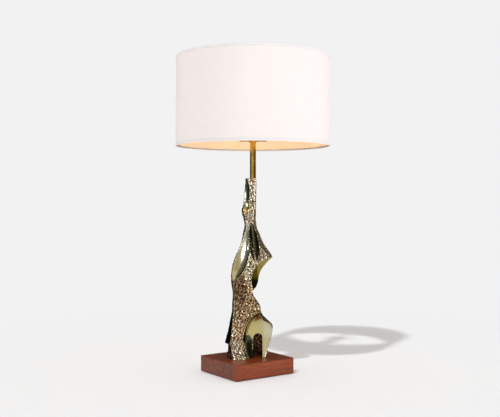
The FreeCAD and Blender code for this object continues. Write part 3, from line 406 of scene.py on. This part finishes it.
# ------------------------------------------------------------------ the cast figure
# Smooth hollows of the casting, each an egg as seen from the front: centre, half sizes, tilt about the
# across direction and lean about the away direction, in mm and degrees.
HOLLOWS = [
    ((-37, -24, 470), (30, 25, 60), 0, 0),          # flank of the crest
    ((-29, -27, 441), (24, 20, 27), 0, 0),          # its rounded lower end, which makes a ledge
    ((-49, -46, 336), (46, 38, 96), 0, 7),          # long scoop down the left shoulder
    ((2, -46, 346), (13.5, 35, 58), 0, -6),         # deep groove beside the ridge
    ((31, -64, 84), (58, 54, 82), -14, 0),          # vault between the legs
    ((-118, -16, 160), (68, 40, 82), 0, 0),         # left flank
    ((4, 52, 300), (24, 36, 66), 0, 8),             # rear shoulder
    ((-4, 72, 92), (38, 42, 66), 8, 0),             # rear vault
    ((66, 58, 190), (56, 44, 60), 0, -12),          # rear waist
    ((-74, 44, 232), (34, 34, 70), 0, 6),           # rear left flank
]
# On the ledge this warmest tint is a painted reflection of the lit shade above it.
WARMEST_HOLLOWS = (1, len(HOLLOWS))      # the ledge and the cut under the wing look the warmest
# The round cut under the right wing: a cylinder's radius, a point of its axis and its direction.
WING_CUT_RADIUS, WING_CUT_PLACE, WING_CUT_WAY = 65.0, (72, -10, 237.5), (0.28, 1.0, -0.14)
# Patches of the front, each a polygon of across and up in mm, as drawn from the viewing point onto the
# upright plane through the axis.  Smooth ones are polished, the others keep their tool marks.
LEFT_STRIP = [(-62, 232), (-51, 230), (-48.5, 200), (-49, 170), (-52, 140), (-57, 104), (-62, 74),
              (-80, 74), (-76, 104), (-67, 141), (-62, 188)]
GROOVE_SIDE = [(11, 345), (14, 345), (19.5, 318), (19.5, 306), (14, 300), (9, 300)]
SMOOTH_PATCHES = [LEFT_STRIP, GROOVE_SIDE]
ROUGH_PATCHES = [
    # foot of the left leg, the band over the right leg and the strip left of the groove
    [(-27, 101), (-25, 80), (-21, 67), (-16, 51), (-9, 28), (-34, 28), (-40, 101)],
    [(16, 155), (40, 146), (62, 125), (60, 112), (50, 119), (40, 127), (30, 132), (24, 137), (18, 146)],
    [(-9, 352), (-6, 352), (-2, 330), (4, 310), (8, 296), (-4, 290), (-14, 320)],
]
# Where smooth metal is drawn dark green, and how dark: the groove, the inner side of the left leg, the
# strip below the wing, the strip down the left flank and the crest's flank. The dark green is partly
# patina and partly painted shade and painted dark reflection.
DARK_PATINA_AND_SHADE_PATCHES = [
    (1.0, [(-11, 402), (8, 402), (14, 365), (24, 322), (16, 290), (-2, 300), (-11, 340)]),
    (1.0, [(-27, 96), (-9, 96), (-1, 83), (-2, 62), (8, 41), (-6, 28), (-9, 30), (-16, 51), (-21, 67),
           (-25, 80)]),
    (1.0, [(-3, 278), (11, 278), (12, 259), (16, 240), (13, 214), (-2, 209), (-4, 240)]),
    (1.0, LEFT_STRIP),
    (0.85, [(-38, 520), (-5, 520), (-5, 452), (-38, 452)]),
]
# Where the worked skin is drawn darker, and how much: the band over the right leg, the wing, the left
# of the waist, the hips, the left leg and the column.
DARKER_WORKED_PATCHES = [
    (0.75, [(14, 160), (40, 150), (66, 128), (64, 108), (40, 124), (20, 136)]),
    (0.35, [(10, 360), (30, 330), (50, 300), (48, 280), (10, 286), (16, 320)]),
    (0.85, [(-62, 246), (-22, 252), (-14, 214), (-20, 180), (-62, 180)]),
    (0.5, [(-62, 180), (16, 190), (24, 146), (-10, 120), (-62, 126)]),
    (0.2, [(-62, 126), (-10, 120), (-20, 40), (-62, 40)]),
    (0.3, [(-12, 512), (16, 512), (16, 430), (-12, 430)]),
]
PATCH_EDGE, DARKENING_EDGE = 0.8, 8.0       # how far a patch's edge is blended to each side, in mm
# The arched niche between the legs, whose worked skin is drawn dark as painted shade: the middle of its
# width, half its width and depth, and its top.
NICHE_MIDDLE, NICHE_HALF_WIDTH, NICHE_HALF_DEPTH, NICHE_TOP = 12.5, 12.3, 36, 103
# Some heights in mm, and how warm the metal is there, from 0 for pale nickel grey to 1 for brass.
HOLLOW_WARMTH = ([110, 200, 270, 300, 400], [1.0, 0.9, 0.75, 0.3, 0.1])
WORKED_WARMTH = ([60, 130, 180, 270, 330, 500], [0.35, 0.75, 1.0, 0.8, 0.3, 0.25])
FIGURE_VOXEL = 1.35 * MM        # spacing of the figure's remeshed skin
# The chisel's runs: how far each slants down to the right, in degrees, and how much it takes over on
# the legs.
CHISEL_RUNS = [(48, 0.8), (-40, 0.0), (100, 0.0)]
CHISEL_LONG, CHISEL_WIDE = 8.2, 3.8     # a tool mark's length and width
CHISEL_DEPTH, LUMP_DEPTH = 1.6, 1.6     # how deep the marks and the broad lumps are cut
CHISEL_SKEW = 0.45      # slope by which the rows of marks are turned about the upright axis
# The faces of the casting's bore round the pipe lie nearer the axis than this and above this height.
BORE_RADIUS, BORE_FROM = 5.3 * MM, 460 * MM


def egg_gap(points, hollow):
    """Signed distance to an egg's skin, positive outside, and the unit way out of it.  With k0 the
    length of p / r and k1 the length of p / r^2, the distance is close to k0 (k0 - 1) / k1."""
    centre, half, tilt, lean = hollow
    tilt, lean = math.radians(tilt), math.radians(lean)
    about_across = np.array([[1, 0, 0], [0, math.cos(tilt), -math.sin(tilt)],
                             [0, math.sin(tilt), math.cos(tilt)]])
    about_away = np.array([[math.cos(lean), 0, math.sin(lean)], [0, 1, 0],
                           [-math.sin(lean), 0, math.cos(lean)]])
    turn = about_away @ about_across
    half = np.array(half, float)
    local = (points - np.array(centre)) @ turn
    k0 = np.linalg.norm(local / half, axis=1)
    slope = local / half ** 2
    k1 = np.linalg.norm(slope, axis=1)
    return k0 * (k0 - 1) / k1, (slope / k1[:, None]) @ turn.T


def wing_cut_gap(points):
    """Signed distance to the round cut under the wing, and the unit way out of its cylinder."""
    way = np.array(WING_CUT_WAY) / np.linalg.norm(WING_CUT_WAY)
    local = points - np.array(WING_CUT_PLACE)
    out = local - (local @ way)[:, None] * way
    length = np.linalg.norm(out, axis=1)
    return length - WING_CUT_RADIUS, out / length[:, None]


def seen_from_front(points):
    """Where a point is drawn, across and up in mm: on the line from the viewing point, where that line
    meets the upright plane through the axis."""
    eye = np.array(VIEWING_POINT)
    share = -eye[1] / (points[:, 1] - eye[1])
    return eye[[0, 2]] + (points[:, [0, 2]] - eye[[0, 2]]) * share[:, None]


def inside_patch(drawn, patch, soft=PATCH_EDGE):
    """1 inside a polygon and 0 outside, blended over its edge: the distance to its nearest side, signed
    by whether a level ray from the point crosses its sides an odd number of times."""
    start = np.array(patch, float)
    end = np.roll(start, -1, axis=0)
    nearest, odd = np.full(len(drawn), 1e9), np.zeros(len(drawn), bool)
    for a, b in zip(start, end):
        along = b - a
        t = np.clip(((drawn - a) @ along) / (along @ along), 0, 1)
        nearest = np.minimum(nearest, np.linalg.norm(drawn - a - t[:, None] * along, axis=1))
        between = (a[1] > drawn[:, 1]) != (b[1] > drawn[:, 1])
        rise = along[1] if along[1] else 1e-9
        odd ^= between & (drawn[:, 0] < a[0] + (drawn[:, 1] - a[1]) * along[0] / rise)
    return smoothstep(np.where(odd, nearest, -nearest), -soft, soft)


def any_patch(drawn, patches, facing):
    """The strongest of several patches, on the skin that faces the front."""
    return facing * np.max([inside_patch(drawn, patch) for patch in patches], axis=0)


def tool_marks(spot):
    """Marks of a chisel, in three runs of different slant.  Each run is a scatter of marks drawn out
    along its slant; which run shows at a point is chosen by soft noise and by height.  Gives how near a
    point is to the ridge between two marks, and how deep its own mark is."""
    across, depth = spot[:, 0] + CHISEL_SKEW * spot[:, 1], spot[:, 1] - CHISEL_SKEW * spot[:, 0]
    height = spot[:, 2]
    best, ridge, dish = np.full(len(spot), -9.0), np.zeros(len(spot)), np.zeros(len(spot))
    for k, (slant, on_leg) in enumerate(CHISEL_RUNS):
        turn = math.radians(slant)
        along = across * math.cos(turn) - height * math.sin(turn)
        over = across * math.sin(turn) + height * math.cos(turn)
        marks = np.stack([along / CHISEL_LONG, over / CHISEL_WIDE, depth / CHISEL_WIDE], axis=1)
        first, second, own = nearest_marks(marks, 11 + k)
        rim = 1 - smoothstep(second - first, 0.04, 0.4)
        edge = np.clip(0.85 * rim + 0.15 * smoothstep(first, 0.25, 0.7) + 0.24 * (own - 0.5), 0, 1)
        vote = lattice_noise(spot, 19.0, 40 + k) + on_leg * smoothstep(-height, -125, -95)
        bowl = (0.4 + 0.6 * own) * (1 - np.clip(first / 0.75, 0, 1) ** 2)
        ridge, dish = np.where(vote > best, edge, ridge), np.where(vote > best, bowl, dish)
        best = np.maximum(best, vote)
    return ridge, dish


def cast_skin():
    """The casting's outer skin as a closed mesh: its CAD mesh is merged, the faces at its foot and
    around the pipe's bore are taken off, what lies inside is dropped, and the two holes are filled."""
    foot = cad_box_mm("figure_casting")[0][2]
    shell = bmesh.new()
    shell.from_mesh(nodes["figure_casting"].data)
    bmesh.ops.remove_doubles(shell, verts=shell.verts, dist=0.002 * MM)

    def hidden(face):
        centre = face.calc_center_median()
        flat = max(v.co.z for v in face.verts) < (foot + 0.02) * MM
        return flat or (math.hypot(centre.x, centre.y) < BORE_RADIUS and centre.z > BORE_FROM)

    bmesh.ops.delete(shell, geom=[f for f in shell.faces if hidden(f)], context="FACES")
    seed = max(shell.verts, key=lambda v: math.hypot(v.co.x, v.co.y))
    outer, todo = {seed}, [seed]
    while todo:
        vertex = todo.pop()
        for edge in vertex.link_edges:
            other = edge.other_vert(vertex)
            if other not in outer:
                outer.add(other)
                todo.append(other)
    bmesh.ops.delete(shell, geom=[v for v in shell.verts if v not in outer], context="VERTS")
    bmesh.ops.holes_fill(shell, edges=[e for e in shell.edges if e.is_boundary])
    mesh = bpy.data.meshes.new("cast_skin")
    shell.to_mesh(mesh)
    shell.free()
    return mesh


def remeshed(mesh, voxel):
    """The mesh remade of even quads voxel wide, and drawn back onto the skin that it came from."""
    target = bpy.data.objects.new("skin_target", mesh)
    worker = bpy.data.objects.new("skin_worker", mesh.copy())
    for helper in (target, worker):
        bpy.context.scene.collection.objects.link(helper)
    even = worker.modifiers.new("even", "REMESH")
    even.mode, even.voxel_size = "VOXEL", voxel
    wrap = worker.modifiers.new("wrap", "SHRINKWRAP")
    wrap.target, wrap.wrap_method = target, "NEAREST_SURFACEPOINT"
    bpy.context.view_layer.update()
    depsgraph = bpy.context.evaluated_depsgraph_get()
    made = bpy.data.meshes.new_from_object(worker.evaluated_get(depsgraph))
    for helper in (worker, target):
        bpy.data.objects.remove(helper)
    return made


def onto_hollows(spot):
    """Moves the points near a hollow onto its exact surface.  Gives the points, how polished each is,
    from 0 to 1, and how strongly each takes the warmest tint, which on the ledge is a painted reflection
    of the lit shade."""
    polish, brassy = np.zeros(len(spot)), np.zeros(len(spot))
    surfaces = [lambda p, h=h: egg_gap(p, h) for h in HOLLOWS] + [wing_cut_gap]
    for number, surface in enumerate(surfaces):
        gap, way = surface(spot)
        near = 1 - smoothstep(gap, 0.35, 0.9)
        spot = spot - way * (gap * near)[:, None]
        polish = np.maximum(polish, near)
        if number in WARMEST_HOLLOWS:
            brassy = np.maximum(brassy, near)
    return spot, polish, brassy


def patina_and_shade_on(spot, drawn, facing, polish):
    """How dark the metal is drawn: the dark green patches lie on smooth metal, where they are patina with
    painted shade and painted dark reflection, the darker patches lie on worked metal, and painted shade
    fills the niche between the legs where that is worked."""
    patina_and_shade = np.zeros(len(spot))
    kinds = ((DARK_PATINA_AND_SHADE_PATCHES, PATCH_EDGE, polish), (DARKER_WORKED_PATCHES, DARKENING_EDGE, 1 - polish))
    for patches, soft, metal in kinds:
        for strength, patch in patches:
            patina_and_shade = np.maximum(patina_and_shade, strength * facing * inside_patch(drawn, patch, soft) * metal)
    across, away, height = np.abs(spot[:, 0] - NICHE_MIDDLE), np.abs(spot[:, 1]), spot[:, 2]
    # painted shade: the worked skin inside the niche between the legs is drawn fully dark
    in_niche = (across < NICHE_HALF_WIDTH) & (away < NICHE_HALF_DEPTH) & (height < NICHE_TOP)
    return np.where(in_niche, np.maximum(patina_and_shade, 1 - polish), patina_and_shade)


def warmth_on(spot, drawn, polish, brassy):
    """How warm the metal looks: hollows and worked skin by height, both paler towards the right, and all
    of it a little uneven."""
    height = spot[:, 2]
    hollow, worked = np.interp(height, *HOLLOW_WARMTH), np.interp(height, *WORKED_WARMTH)
    silver_strip = smoothstep(drawn[:, 0], -24, -12) * smoothstep(height, 225, 245)
    worked = worked * (1 - 0.75 * silver_strip)
    # the warmest hollows keep full warmth; on the ledge that is a painted reflection of the lit shade
    hollow = np.maximum(hollow * (1 - 0.8 * smoothstep(drawn[:, 0], 20, 36)), brassy)
    warmth = polish * hollow + (1 - polish) * worked
    return np.clip(warmth + 0.9 * (lattice_noise(spot, 14.0, 9) - 0.5) * (1 - 0.7 * polish), 0, 1)


def make_figure(material):
    """The figure: the casting's skin, remade fine, its hollows drawn onto their exact eggs, and the
    rest cut with tool marks.  A mark is a dish whose floor lies deeper near its middle, so ridges are
    left where two marks meet."""
    mesh = remeshed(cast_skin(), FIGURE_VOXEL)
    count = len(mesh.vertices)
    flat = np.empty(count * 3)
    mesh.vertices.foreach_get("co", flat)
    spot, polish, brassy = onto_hollows(to_front(flat.reshape(-1, 3)))
    drawn = seen_from_front(spot)
    normals = np.empty(count * 3)
    mesh.vertices.foreach_get("normal", normals)
    normals = to_front(normals.reshape(-1, 3) * MM)
    facing = smoothstep(-normals[:, 1], -0.15, 0.05)
    polish = np.maximum(polish, any_patch(drawn, SMOOTH_PATCHES, facing))
    polish = polish * (1 - any_patch(drawn, ROUGH_PATCHES, facing))
    patina_and_shade = patina_and_shade_on(spot, drawn, facing, polish)
    warmth = warmth_on(spot, drawn, polish, brassy)
    ridge, dish = tool_marks(spot)
    lumps = lattice_noise(spot, 22.0, 5) + 0.5 * lattice_noise(spot, 9.0, 7) - 0.75

    # the cut fades out at the foot, which meets the block, and at the top, which meets the neck
    low, high = cad_box_mm("figure_casting")
    above_foot, below_top = spot[:, 2] - low[2], high[2] - spot[:, 2]
    worked = (1 - polish) * smoothstep(above_foot, 0.2, 2.0) * smoothstep(below_top, 0.2, 2.0)
    cut = worked * (-CHISEL_DEPTH * dish + LUMP_DEPTH * np.minimum(lumps, 0.3))
    mesh.vertices.foreach_set("co", from_front(spot + normals * cut[:, None]).ravel())
    mesh.update()
    for name, values in (("polish", polish), ("ridge", ridge), ("patina_and_shade", patina_and_shade), ("warmth", warmth)):
        layer = mesh.attributes.new(name, "FLOAT", "POINT")
        layer.data.foreach_set("value", values.astype(np.float32))
    mesh.polygons.foreach_set("use_smooth", np.ones(len(mesh.polygons), bool))
    mesh.name = "figure"
    mesh.materials.clear()
    mesh.materials.append(material)
    figure = bpy.data.objects.new("figure", mesh)
    bpy.context.scene.collection.objects.link(figure)
    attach(figure, "lamp")
    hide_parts("figure_casting")


# ------------------------------------------------------------------ felt and shade
def make_felt(material):
    """A felt sheet under the block: its outline at angle a is (|cos a|^p, |sin a|^p) with their signs, a
    rectangle with small round corners, and rings of it are drawn in towards both faces, so that the cut
    edge is soft."""
    low, high = (np.array(corner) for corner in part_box("felt_pad"))
    middle, half = (low[:2] + high[:2]) / 2, (high[:2] - low[:2]) / 2
    angle = np.linspace(0, 2 * math.pi, 240, endpoint=False)
    power = 0.08
    circle = np.stack([np.cos(angle), np.sin(angle)], axis=1)
    plan = np.sign(circle) * np.abs(circle) ** power
    height = high[2] - low[2]
    rings = [(0.0, 0.0), (0.9, 0.0), (0.985, 0.0), (0.996, 0.1), (1.0, 0.35), (1.0, 0.65), (0.996, 0.9),
             (0.985, 1.0), (0.9, 1.0), (0.0, 1.0)]
    share, level = np.array(rings).T
    outline = middle + plan * half * share[:, None, None]
    up = np.broadcast_to((low[2] + level * height)[:, None], outline.shape[:2])
    points = np.dstack([outline, up])
    faces = grid_faces(len(rings), len(angle), close_rows=False)
    felt = new_piece("felt_sheet", points.reshape(-1, 3), faces[:, ::-1], material, "lamp")
    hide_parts("felt_pad")


def shade_profile():
    """Radius of the drum's outside at its bottom and top, and the two heights, in metres."""
    low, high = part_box("shade_fabric")
    bottom = (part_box("bottom_trim")[1][0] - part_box("bottom_trim")[0][0]) / 2
    top = (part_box("top_trim")[1][0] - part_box("top_trim")[0][0]) / 2
    return bottom, top, low[2], high[2]


# Steps round the drum and up its cloth; the cloth's thickness, how far it lies inside the rolled edges
# and half the width of its lap, in mm.
ROUND_STEPS, CLOTH_ROWS = 480, 60
CLOTH_THICK, CLOTH_INSET, HALF_LAP = 0.5, 0.55, 6.0


def make_shade_cloth(material):
    """The drum's cloth: one sheet carried round the axis, a little uneven as glued cloth is, with a
    doubled strip where its two ends lap at the back.  At angle a and share t of the height, its radius
    is bottom + (top - bottom) t, less the inset, plus the waves and the lap."""
    bottom, top, low, high = shade_profile()
    angle = np.linspace(0, 2 * math.pi, ROUND_STEPS, endpoint=False)
    level = np.linspace(0, 1, CLOTH_ROWS)[:, None]
    waves = waves_round(angle, 21, range(3, 16))
    seam = math.atan2(COS, SIN)                 # straight away from the camera
    beside = np.abs((angle - seam + math.pi) % (2 * math.pi) - math.pi) * bottom / MM
    lap = CLOTH_THICK * smoothstep(-beside, -HALF_LAP - 1, -HALF_LAP)
    radius = bottom + (top - bottom) * level - (CLOTH_INSET - 0.05 * waves - lap)[None, :] * MM
    outer = np.stack([radius * np.cos(angle), radius * np.sin(angle),
                      np.broadcast_to(low + (high - low) * level, radius.shape)], axis=-1)
    inner = outer.copy()
    inner[..., :2] *= (1 - CLOTH_THICK * MM / radius)[..., None]
    points = np.concatenate([outer, inner[::-1]])
    faces = grid_faces(len(points), ROUND_STEPS)
    cloth = new_piece("shade_cloth", points.reshape(-1, 3), faces, material, "shade")
    uv_round(cloth, points, bottom)
    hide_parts("shade_fabric")
    return cloth


def uv_round(piece, points, radius):
    """A UV map in metres: the way round the drum, and the height."""
    columns = points.shape[1]
    mesh = piece.data
    loops = np.empty(len(mesh.loops), int)
    mesh.loops.foreach_get("vertex_index", loops)
    round_way = (loops % columns) / columns * 2 * math.pi * radius
    height = points.reshape(-1, 3)[loops, 2]
    quad = round_way.reshape(-1, 4)
    across_end = quad.max(axis=1) - quad.min(axis=1) > math.pi * radius
    ends = quad[across_end]
    quad[across_end] = np.where(ends < math.pi * radius, ends + 2 * math.pi * radius, ends)
    layer = mesh.uv_layers.new(name="cloth")
    layer.data.foreach_set("uv", np.stack([quad.ravel(), height], axis=1).ravel())


def make_shade_edge(rim, material):
    """The cloth rolled over a rim: a rounded U, its outside and then its inside, carried round the drum,
    a little uneven.  The bend at angle a is a half circle (outer - r + r cos a, r - r sin a)."""
    low, high = (np.array(corner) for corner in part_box(f"{rim}_trim"))
    outer = (high[0] - low[0]) / 2
    wall, tall = 3.4 * MM, high[2] - low[2]
    turn = np.linspace(0, math.pi, 13)
    thin, bend = 0.35 * MM, wall / 2
    within, shoulder = bend - thin, bend * 1.6
    outside = np.array([[outer, tall], [outer, shoulder]])
    curve = np.stack([outer - bend + bend * np.cos(turn), bend - bend * np.sin(turn)], axis=1)
    inside = np.array([[outer - wall, shoulder], [outer - wall, tall]])
    back = np.array([[outer - wall + thin, tall], [outer - wall + thin, shoulder]])
    under = np.stack([outer - bend - within * np.cos(turn), bend - within * np.sin(turn)], axis=1)
    front = np.array([[outer - thin, shoulder], [outer - thin, tall]])
    profile = np.concatenate([outside, curve, inside, back, under, front])
    profile[:, 1] = low[2] + profile[:, 1] if rim == "bottom" else high[2] - profile[:, 1]
    if rim == "bottom":
        profile = profile[::-1]
    angle = np.linspace(0, 2 * math.pi, ROUND_STEPS, endpoint=False)
    waves = waves_round(angle, 31 if rim == "top" else 32, range(5, 40))
    points = turned_points(profile, angle, 0.02 * MM * waves)
    edge = new_piece(f"shade_{rim}_edge", points.reshape(-1, 3), grid_faces(len(profile), ROUND_STEPS),
                     material, "shade")
    uv_round(edge, points, outer)
    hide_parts(f"{rim}_trim")
    return edge


# ------------------------------------------------------------------ surroundings
BACKGROUND, FLOOR_COLOUR = "#F2F2F2", "#EDEFF1"
FLOOR_REACH, FADE_FROM, FADE_TO = 14.0, 0.8, 1.5    # metres from the axis
WORLD_LIGHT, FLOOR_LIGHT = 0.67, 1.5


def make_floor():
    """A pale round floor, which fades into the even background away from the lamp."""
    count = 96
    angle = np.linspace(0, 2 * math.pi, count, endpoint=False)
    points = np.stack([FLOOR_REACH * np.cos(angle), FLOOR_REACH * np.sin(angle), 0 * angle], axis=1)
    made, tree, shader = new_material("pale_paper_floor", {"Base Color": linear(FLOOR_COLOUR),
                                                           "Roughness": 1.0, "Specular IOR Level": 0.0})
    spot = add(tree, "TexCoord").outputs["Object"]
    away = add(tree, "VectorMath", {0: spot}, operation="LENGTH").outputs["Value"]
    far = spread(tree, away, FADE_FROM, FADE_TO, 0.0, 1.0)
    seen = add(tree, "LightPath").outputs["Is Camera Ray"]
    factor = add(tree, "Math", {0: far, 1: seen}, operation="MULTIPLY").outputs["Value"]
    plain = add(tree, "Emission", {"Color": linear(BACKGROUND), "Strength": 1.0}).outputs[0]
    mix = add(tree, "MixShader", {0: factor, 1: shader.outputs[0], 2: plain}).outputs[0]
    tree.links.new(mix, tree.nodes["Material Output"].inputs["Surface"])
    floor = new_piece("floor", points, np.arange(count)[None, :], made)
    return floor


def make_world():
    """Even pale surroundings: the background's colour for what the camera, metal and glass see, and a
    softer light for everything else."""
    world = bpy.data.worlds.new("surroundings")
    world.use_nodes = True
    bpy.context.scene.world = world
    tree = world.node_tree
    path = add(tree, "LightPath").outputs
    glossy = add(tree, "Math", {0: path["Is Camera Ray"], 1: path["Is Glossy Ray"]}, operation="MAXIMUM")
    shown = add(tree, "Math", {0: glossy.outputs[0], 1: path["Is Transmission Ray"]}, operation="MAXIMUM")
    soft = add(tree, "Background", {"Color": linear("#FDFBF9"), "Strength": WORLD_LIGHT}).outputs[0]
    plain = add(tree, "Background", {"Color": linear(BACKGROUND), "Strength": 1.0}).outputs[0]
    mix = add(tree, "MixShader", {0: shown.outputs[0], 1: soft, 2: plain}).outputs[0]
    tree.links.new(mix, tree.nodes["World Output"].inputs["Surface"])


def aim(light_object, place, target):
    """Puts a lamp at place, pointing at target; both as seen from the front, in mm."""
    start, end = Vector(from_front(place)), Vector(from_front(target))
    light_object.location = start
    light_object.rotation_euler = (end - start).to_track_quat("-Z", "Y").to_euler()


def only_lights(light_object, pieces, state):
    """Keeps a lamp's light off some pieces (EXCLUDE), or on those pieces alone (INCLUDE)."""
    receivers = bpy.data.collections.new(light_object.name + "_receivers")
    for piece in pieces:
        receivers.objects.link(piece)
    for member in receivers.collection_objects:
        member.light_linking.link_state = state
    light_object.light_linking.receiver_collection = receivers


def make_softbox(name, place, target, size, power, pieces, state, colour="#FFFFFF"):
    """A rectangular soft lamp, which lights all but some pieces, or only those."""
    light = bpy.data.lights.new(name, "AREA")
    light.shape, light.size, light.size_y = "RECTANGLE", size[0] * MM, size[1] * MM
    light.energy, light.color = power, linear(colour)[:3]
    lamp = bpy.data.objects.new(name, light)
    bpy.context.scene.collection.objects.link(lamp)
    aim(lamp, place, target)
    only_lights(lamp, pieces, state)


def make_floor_light(floor):
    """A distant lamp from the front left, which gives the floor its even light and the lamp's shadow."""
    light = bpy.data.lights.new("floor_light", "SUN")
    light.energy, light.angle = FLOOR_LIGHT, math.radians(2.5)
    lamp = bpy.data.objects.new("floor_light", light)
    bpy.context.scene.collection.objects.link(lamp)
    aim(lamp, (-272, -515, 709), (0, 0, 0))
    only_lights(lamp, [floor], "INCLUDE")


# Cloths and cards round the lamp, which only shiny surfaces see: the angles where each starts and ends,
# the radius and the height of its two long edges in mm, and its colour.  Angles go round from straight
# behind the lamp, positive to the right, in degrees.  Two of them lie on the floor behind the lamp.
NEAR, FAR, ON_FLOOR = (1700, 1700), (2700, 2700), (1, 1)
CARDS = [
    ("flag_left_rear", -70, -20, NEAR, (0, 2600), "#15191F"),
    ("flag_left", -113, -70, NEAR, (0, 2600), "#666B70"),
    ("flag_rear_low", -20, 8, NEAR, (0, 900), "#241C16"),
    ("flag_right_rear", 8, 40, NEAR, (0, 2600), "#262A20"),
    ("card_right", 40, 76, NEAR, (0, 2600), "#A89C8A"),
    ("flag_right", 76, 100, NEAR, (0, 2600), "#262A20"),
    ("flag_front_right", 100, 124, FAR, (0, 3200), "#3E3930"),
    ("card_front_right", 124, 160, FAR, (0, 3200), "#7C7466"),
    ("card_front", 160, 200, FAR, (0, 3200), "#E6DFCC"),
    ("flag_front_left", 200, 247, FAR, (0, 2600), "#C2BAA6"),
    ("flag_floor_left", -75, 0, (260, 1700), ON_FLOOR, "#15191F"),
    ("flag_floor_right", 26, 46, (260, 1700), ON_FLOOR, "#C8C0A4"),
]


def make_card(name, from_angle, to_angle, radii, heights, colour):
    """A strip between two edges of given radius and height, carried round the lamp: the point at angle
    a is (r sin a, r cos a, z) as seen from the front.  It glows in its colour for shiny surfaces alone."""
    made, tree, _ = new_material(name + "_cloth", {"Roughness": 1.0})
    plain = add(tree, "Emission", {"Color": linear(colour), "Strength": 1.0}).outputs[0]
    tree.links.new(plain, tree.nodes["Material Output"].inputs["Surface"])
    steps = 25
    angle = np.radians(np.linspace(from_angle, to_angle, steps))
    radius, height = np.array(radii)[:, None], np.array(heights)[:, None]
    points = np.stack(np.broadcast_arrays(radius * np.sin(angle), radius * np.cos(angle), height), axis=-1)
    faces = grid_faces(2, steps, close_rows=False, close_columns=False)
    card = new_piece(name, from_front(points.reshape(-1, 3)), faces, made)
    card.visible_camera = card.visible_diffuse = card.visible_shadow = card.visible_transmission = False


CAMERA_LENS, CAMERA_SHIFT_UP, CAMERA_DIP = 58.33, -0.0048, 0.22     # mm, share of the width, degrees


def make_camera():
    """A camera at the viewing point that looks at the lamp's front and a little down."""
    camera = bpy.data.cameras.new("camera")
    camera.sensor_width, camera.lens = 36.0, CAMERA_LENS
    camera.shift_y = CAMERA_SHIFT_UP
    camera.clip_end = 60.0
    holder = bpy.data.objects.new("camera", camera)
    bpy.context.scene.collection.objects.link(holder)
    holder.location = from_front(VIEWING_POINT)
    holder.rotation_euler = (math.radians(90 - CAMERA_DIP), 0.0, -FRONT_TURN)
    bpy.context.scene.camera = holder


# ------------------------------------------------------------------ build
make_camera()
make_world()
floor = make_floor()
make_floor_light(floor)
for card in CARDS:
    make_card(*card)

brass, steel, phenolic = lacquered_brass(), zinc_plated_steel(), black_phenolic()
cap_metal, liner = rolled_aluminium(), styrene_liner()
FINISHES = {
    "base_block": stained_walnut(), "inlet_bushing": phenolic, "casting_bolts": steel,
    "bolt_washers": steel, "lamp_pipe": steel, "neck_tube": brass, "check_ring": brass,
    "harp_saddle": brass, "lock_nut": brass, "socket_cap": brass, "socket_shell": brass,
    "socket_insulator": vulcanised_fibre(), "socket_body": phenolic, "screw_shell": brass,
    "centre_contact": brass, "terminal_screws": steel, "switch_key": phenolic, "harp_wire": brass,
    "harp_sleeve_left": brass, "harp_sleeve_right": brass, "stud_base": brass, "swivel_stud": brass,
    "bulb_glass": lit_frosted_glass(), "bulb_cap": cap_metal, "bulb_tip": cap_metal, "spider": brass,
    "top_ring": steel, "bottom_ring": steel, "shade_liner": liner, "finial": brass,
}
for node, finish in FINISHES.items():
    dress(node, finish)

make_figure(cast_brass())
make_felt(wool_felt())
cloth = make_shade_cloth(shade_linen("shade_linen", 0.33))
edging = shade_linen("shade_linen_edge", 0.3)
edges = [make_shade_edge(rim, edging) for rim in ("bottom", "top")]

# The keys light metal and wood; the floor, the shade and the neck have enough light without them, and
# the left one would mirror in the block's top.  The shade has a pair of lamps of its own.
shade_skin = [cloth, *edges]
unkeyed = [floor, *shade_skin, nodes["neck_tube"]]
make_softbox("key_right", (1500, -1500, 900), (0, 0, 350), (1000, 1000), 24, unkeyed, "EXCLUDE")
make_softbox("key_left", (-1545, -821, 640), (0, 0, 330), (400, 260), 8,
             [*unkeyed, nodes["base_block"]], "EXCLUDE", "#E6EEFF")
for side, across, power in (("right", 1900, 36), ("left", -1900, 23)):
    make_softbox("shade_" + side, (across, -1500, 800), (0, 0, 690), (1400, 1400), power,
                 shade_skin, "INCLUDE", "#FBFCFF")

view = bpy.context.scene.view_settings
view.view_transform = "Standard"
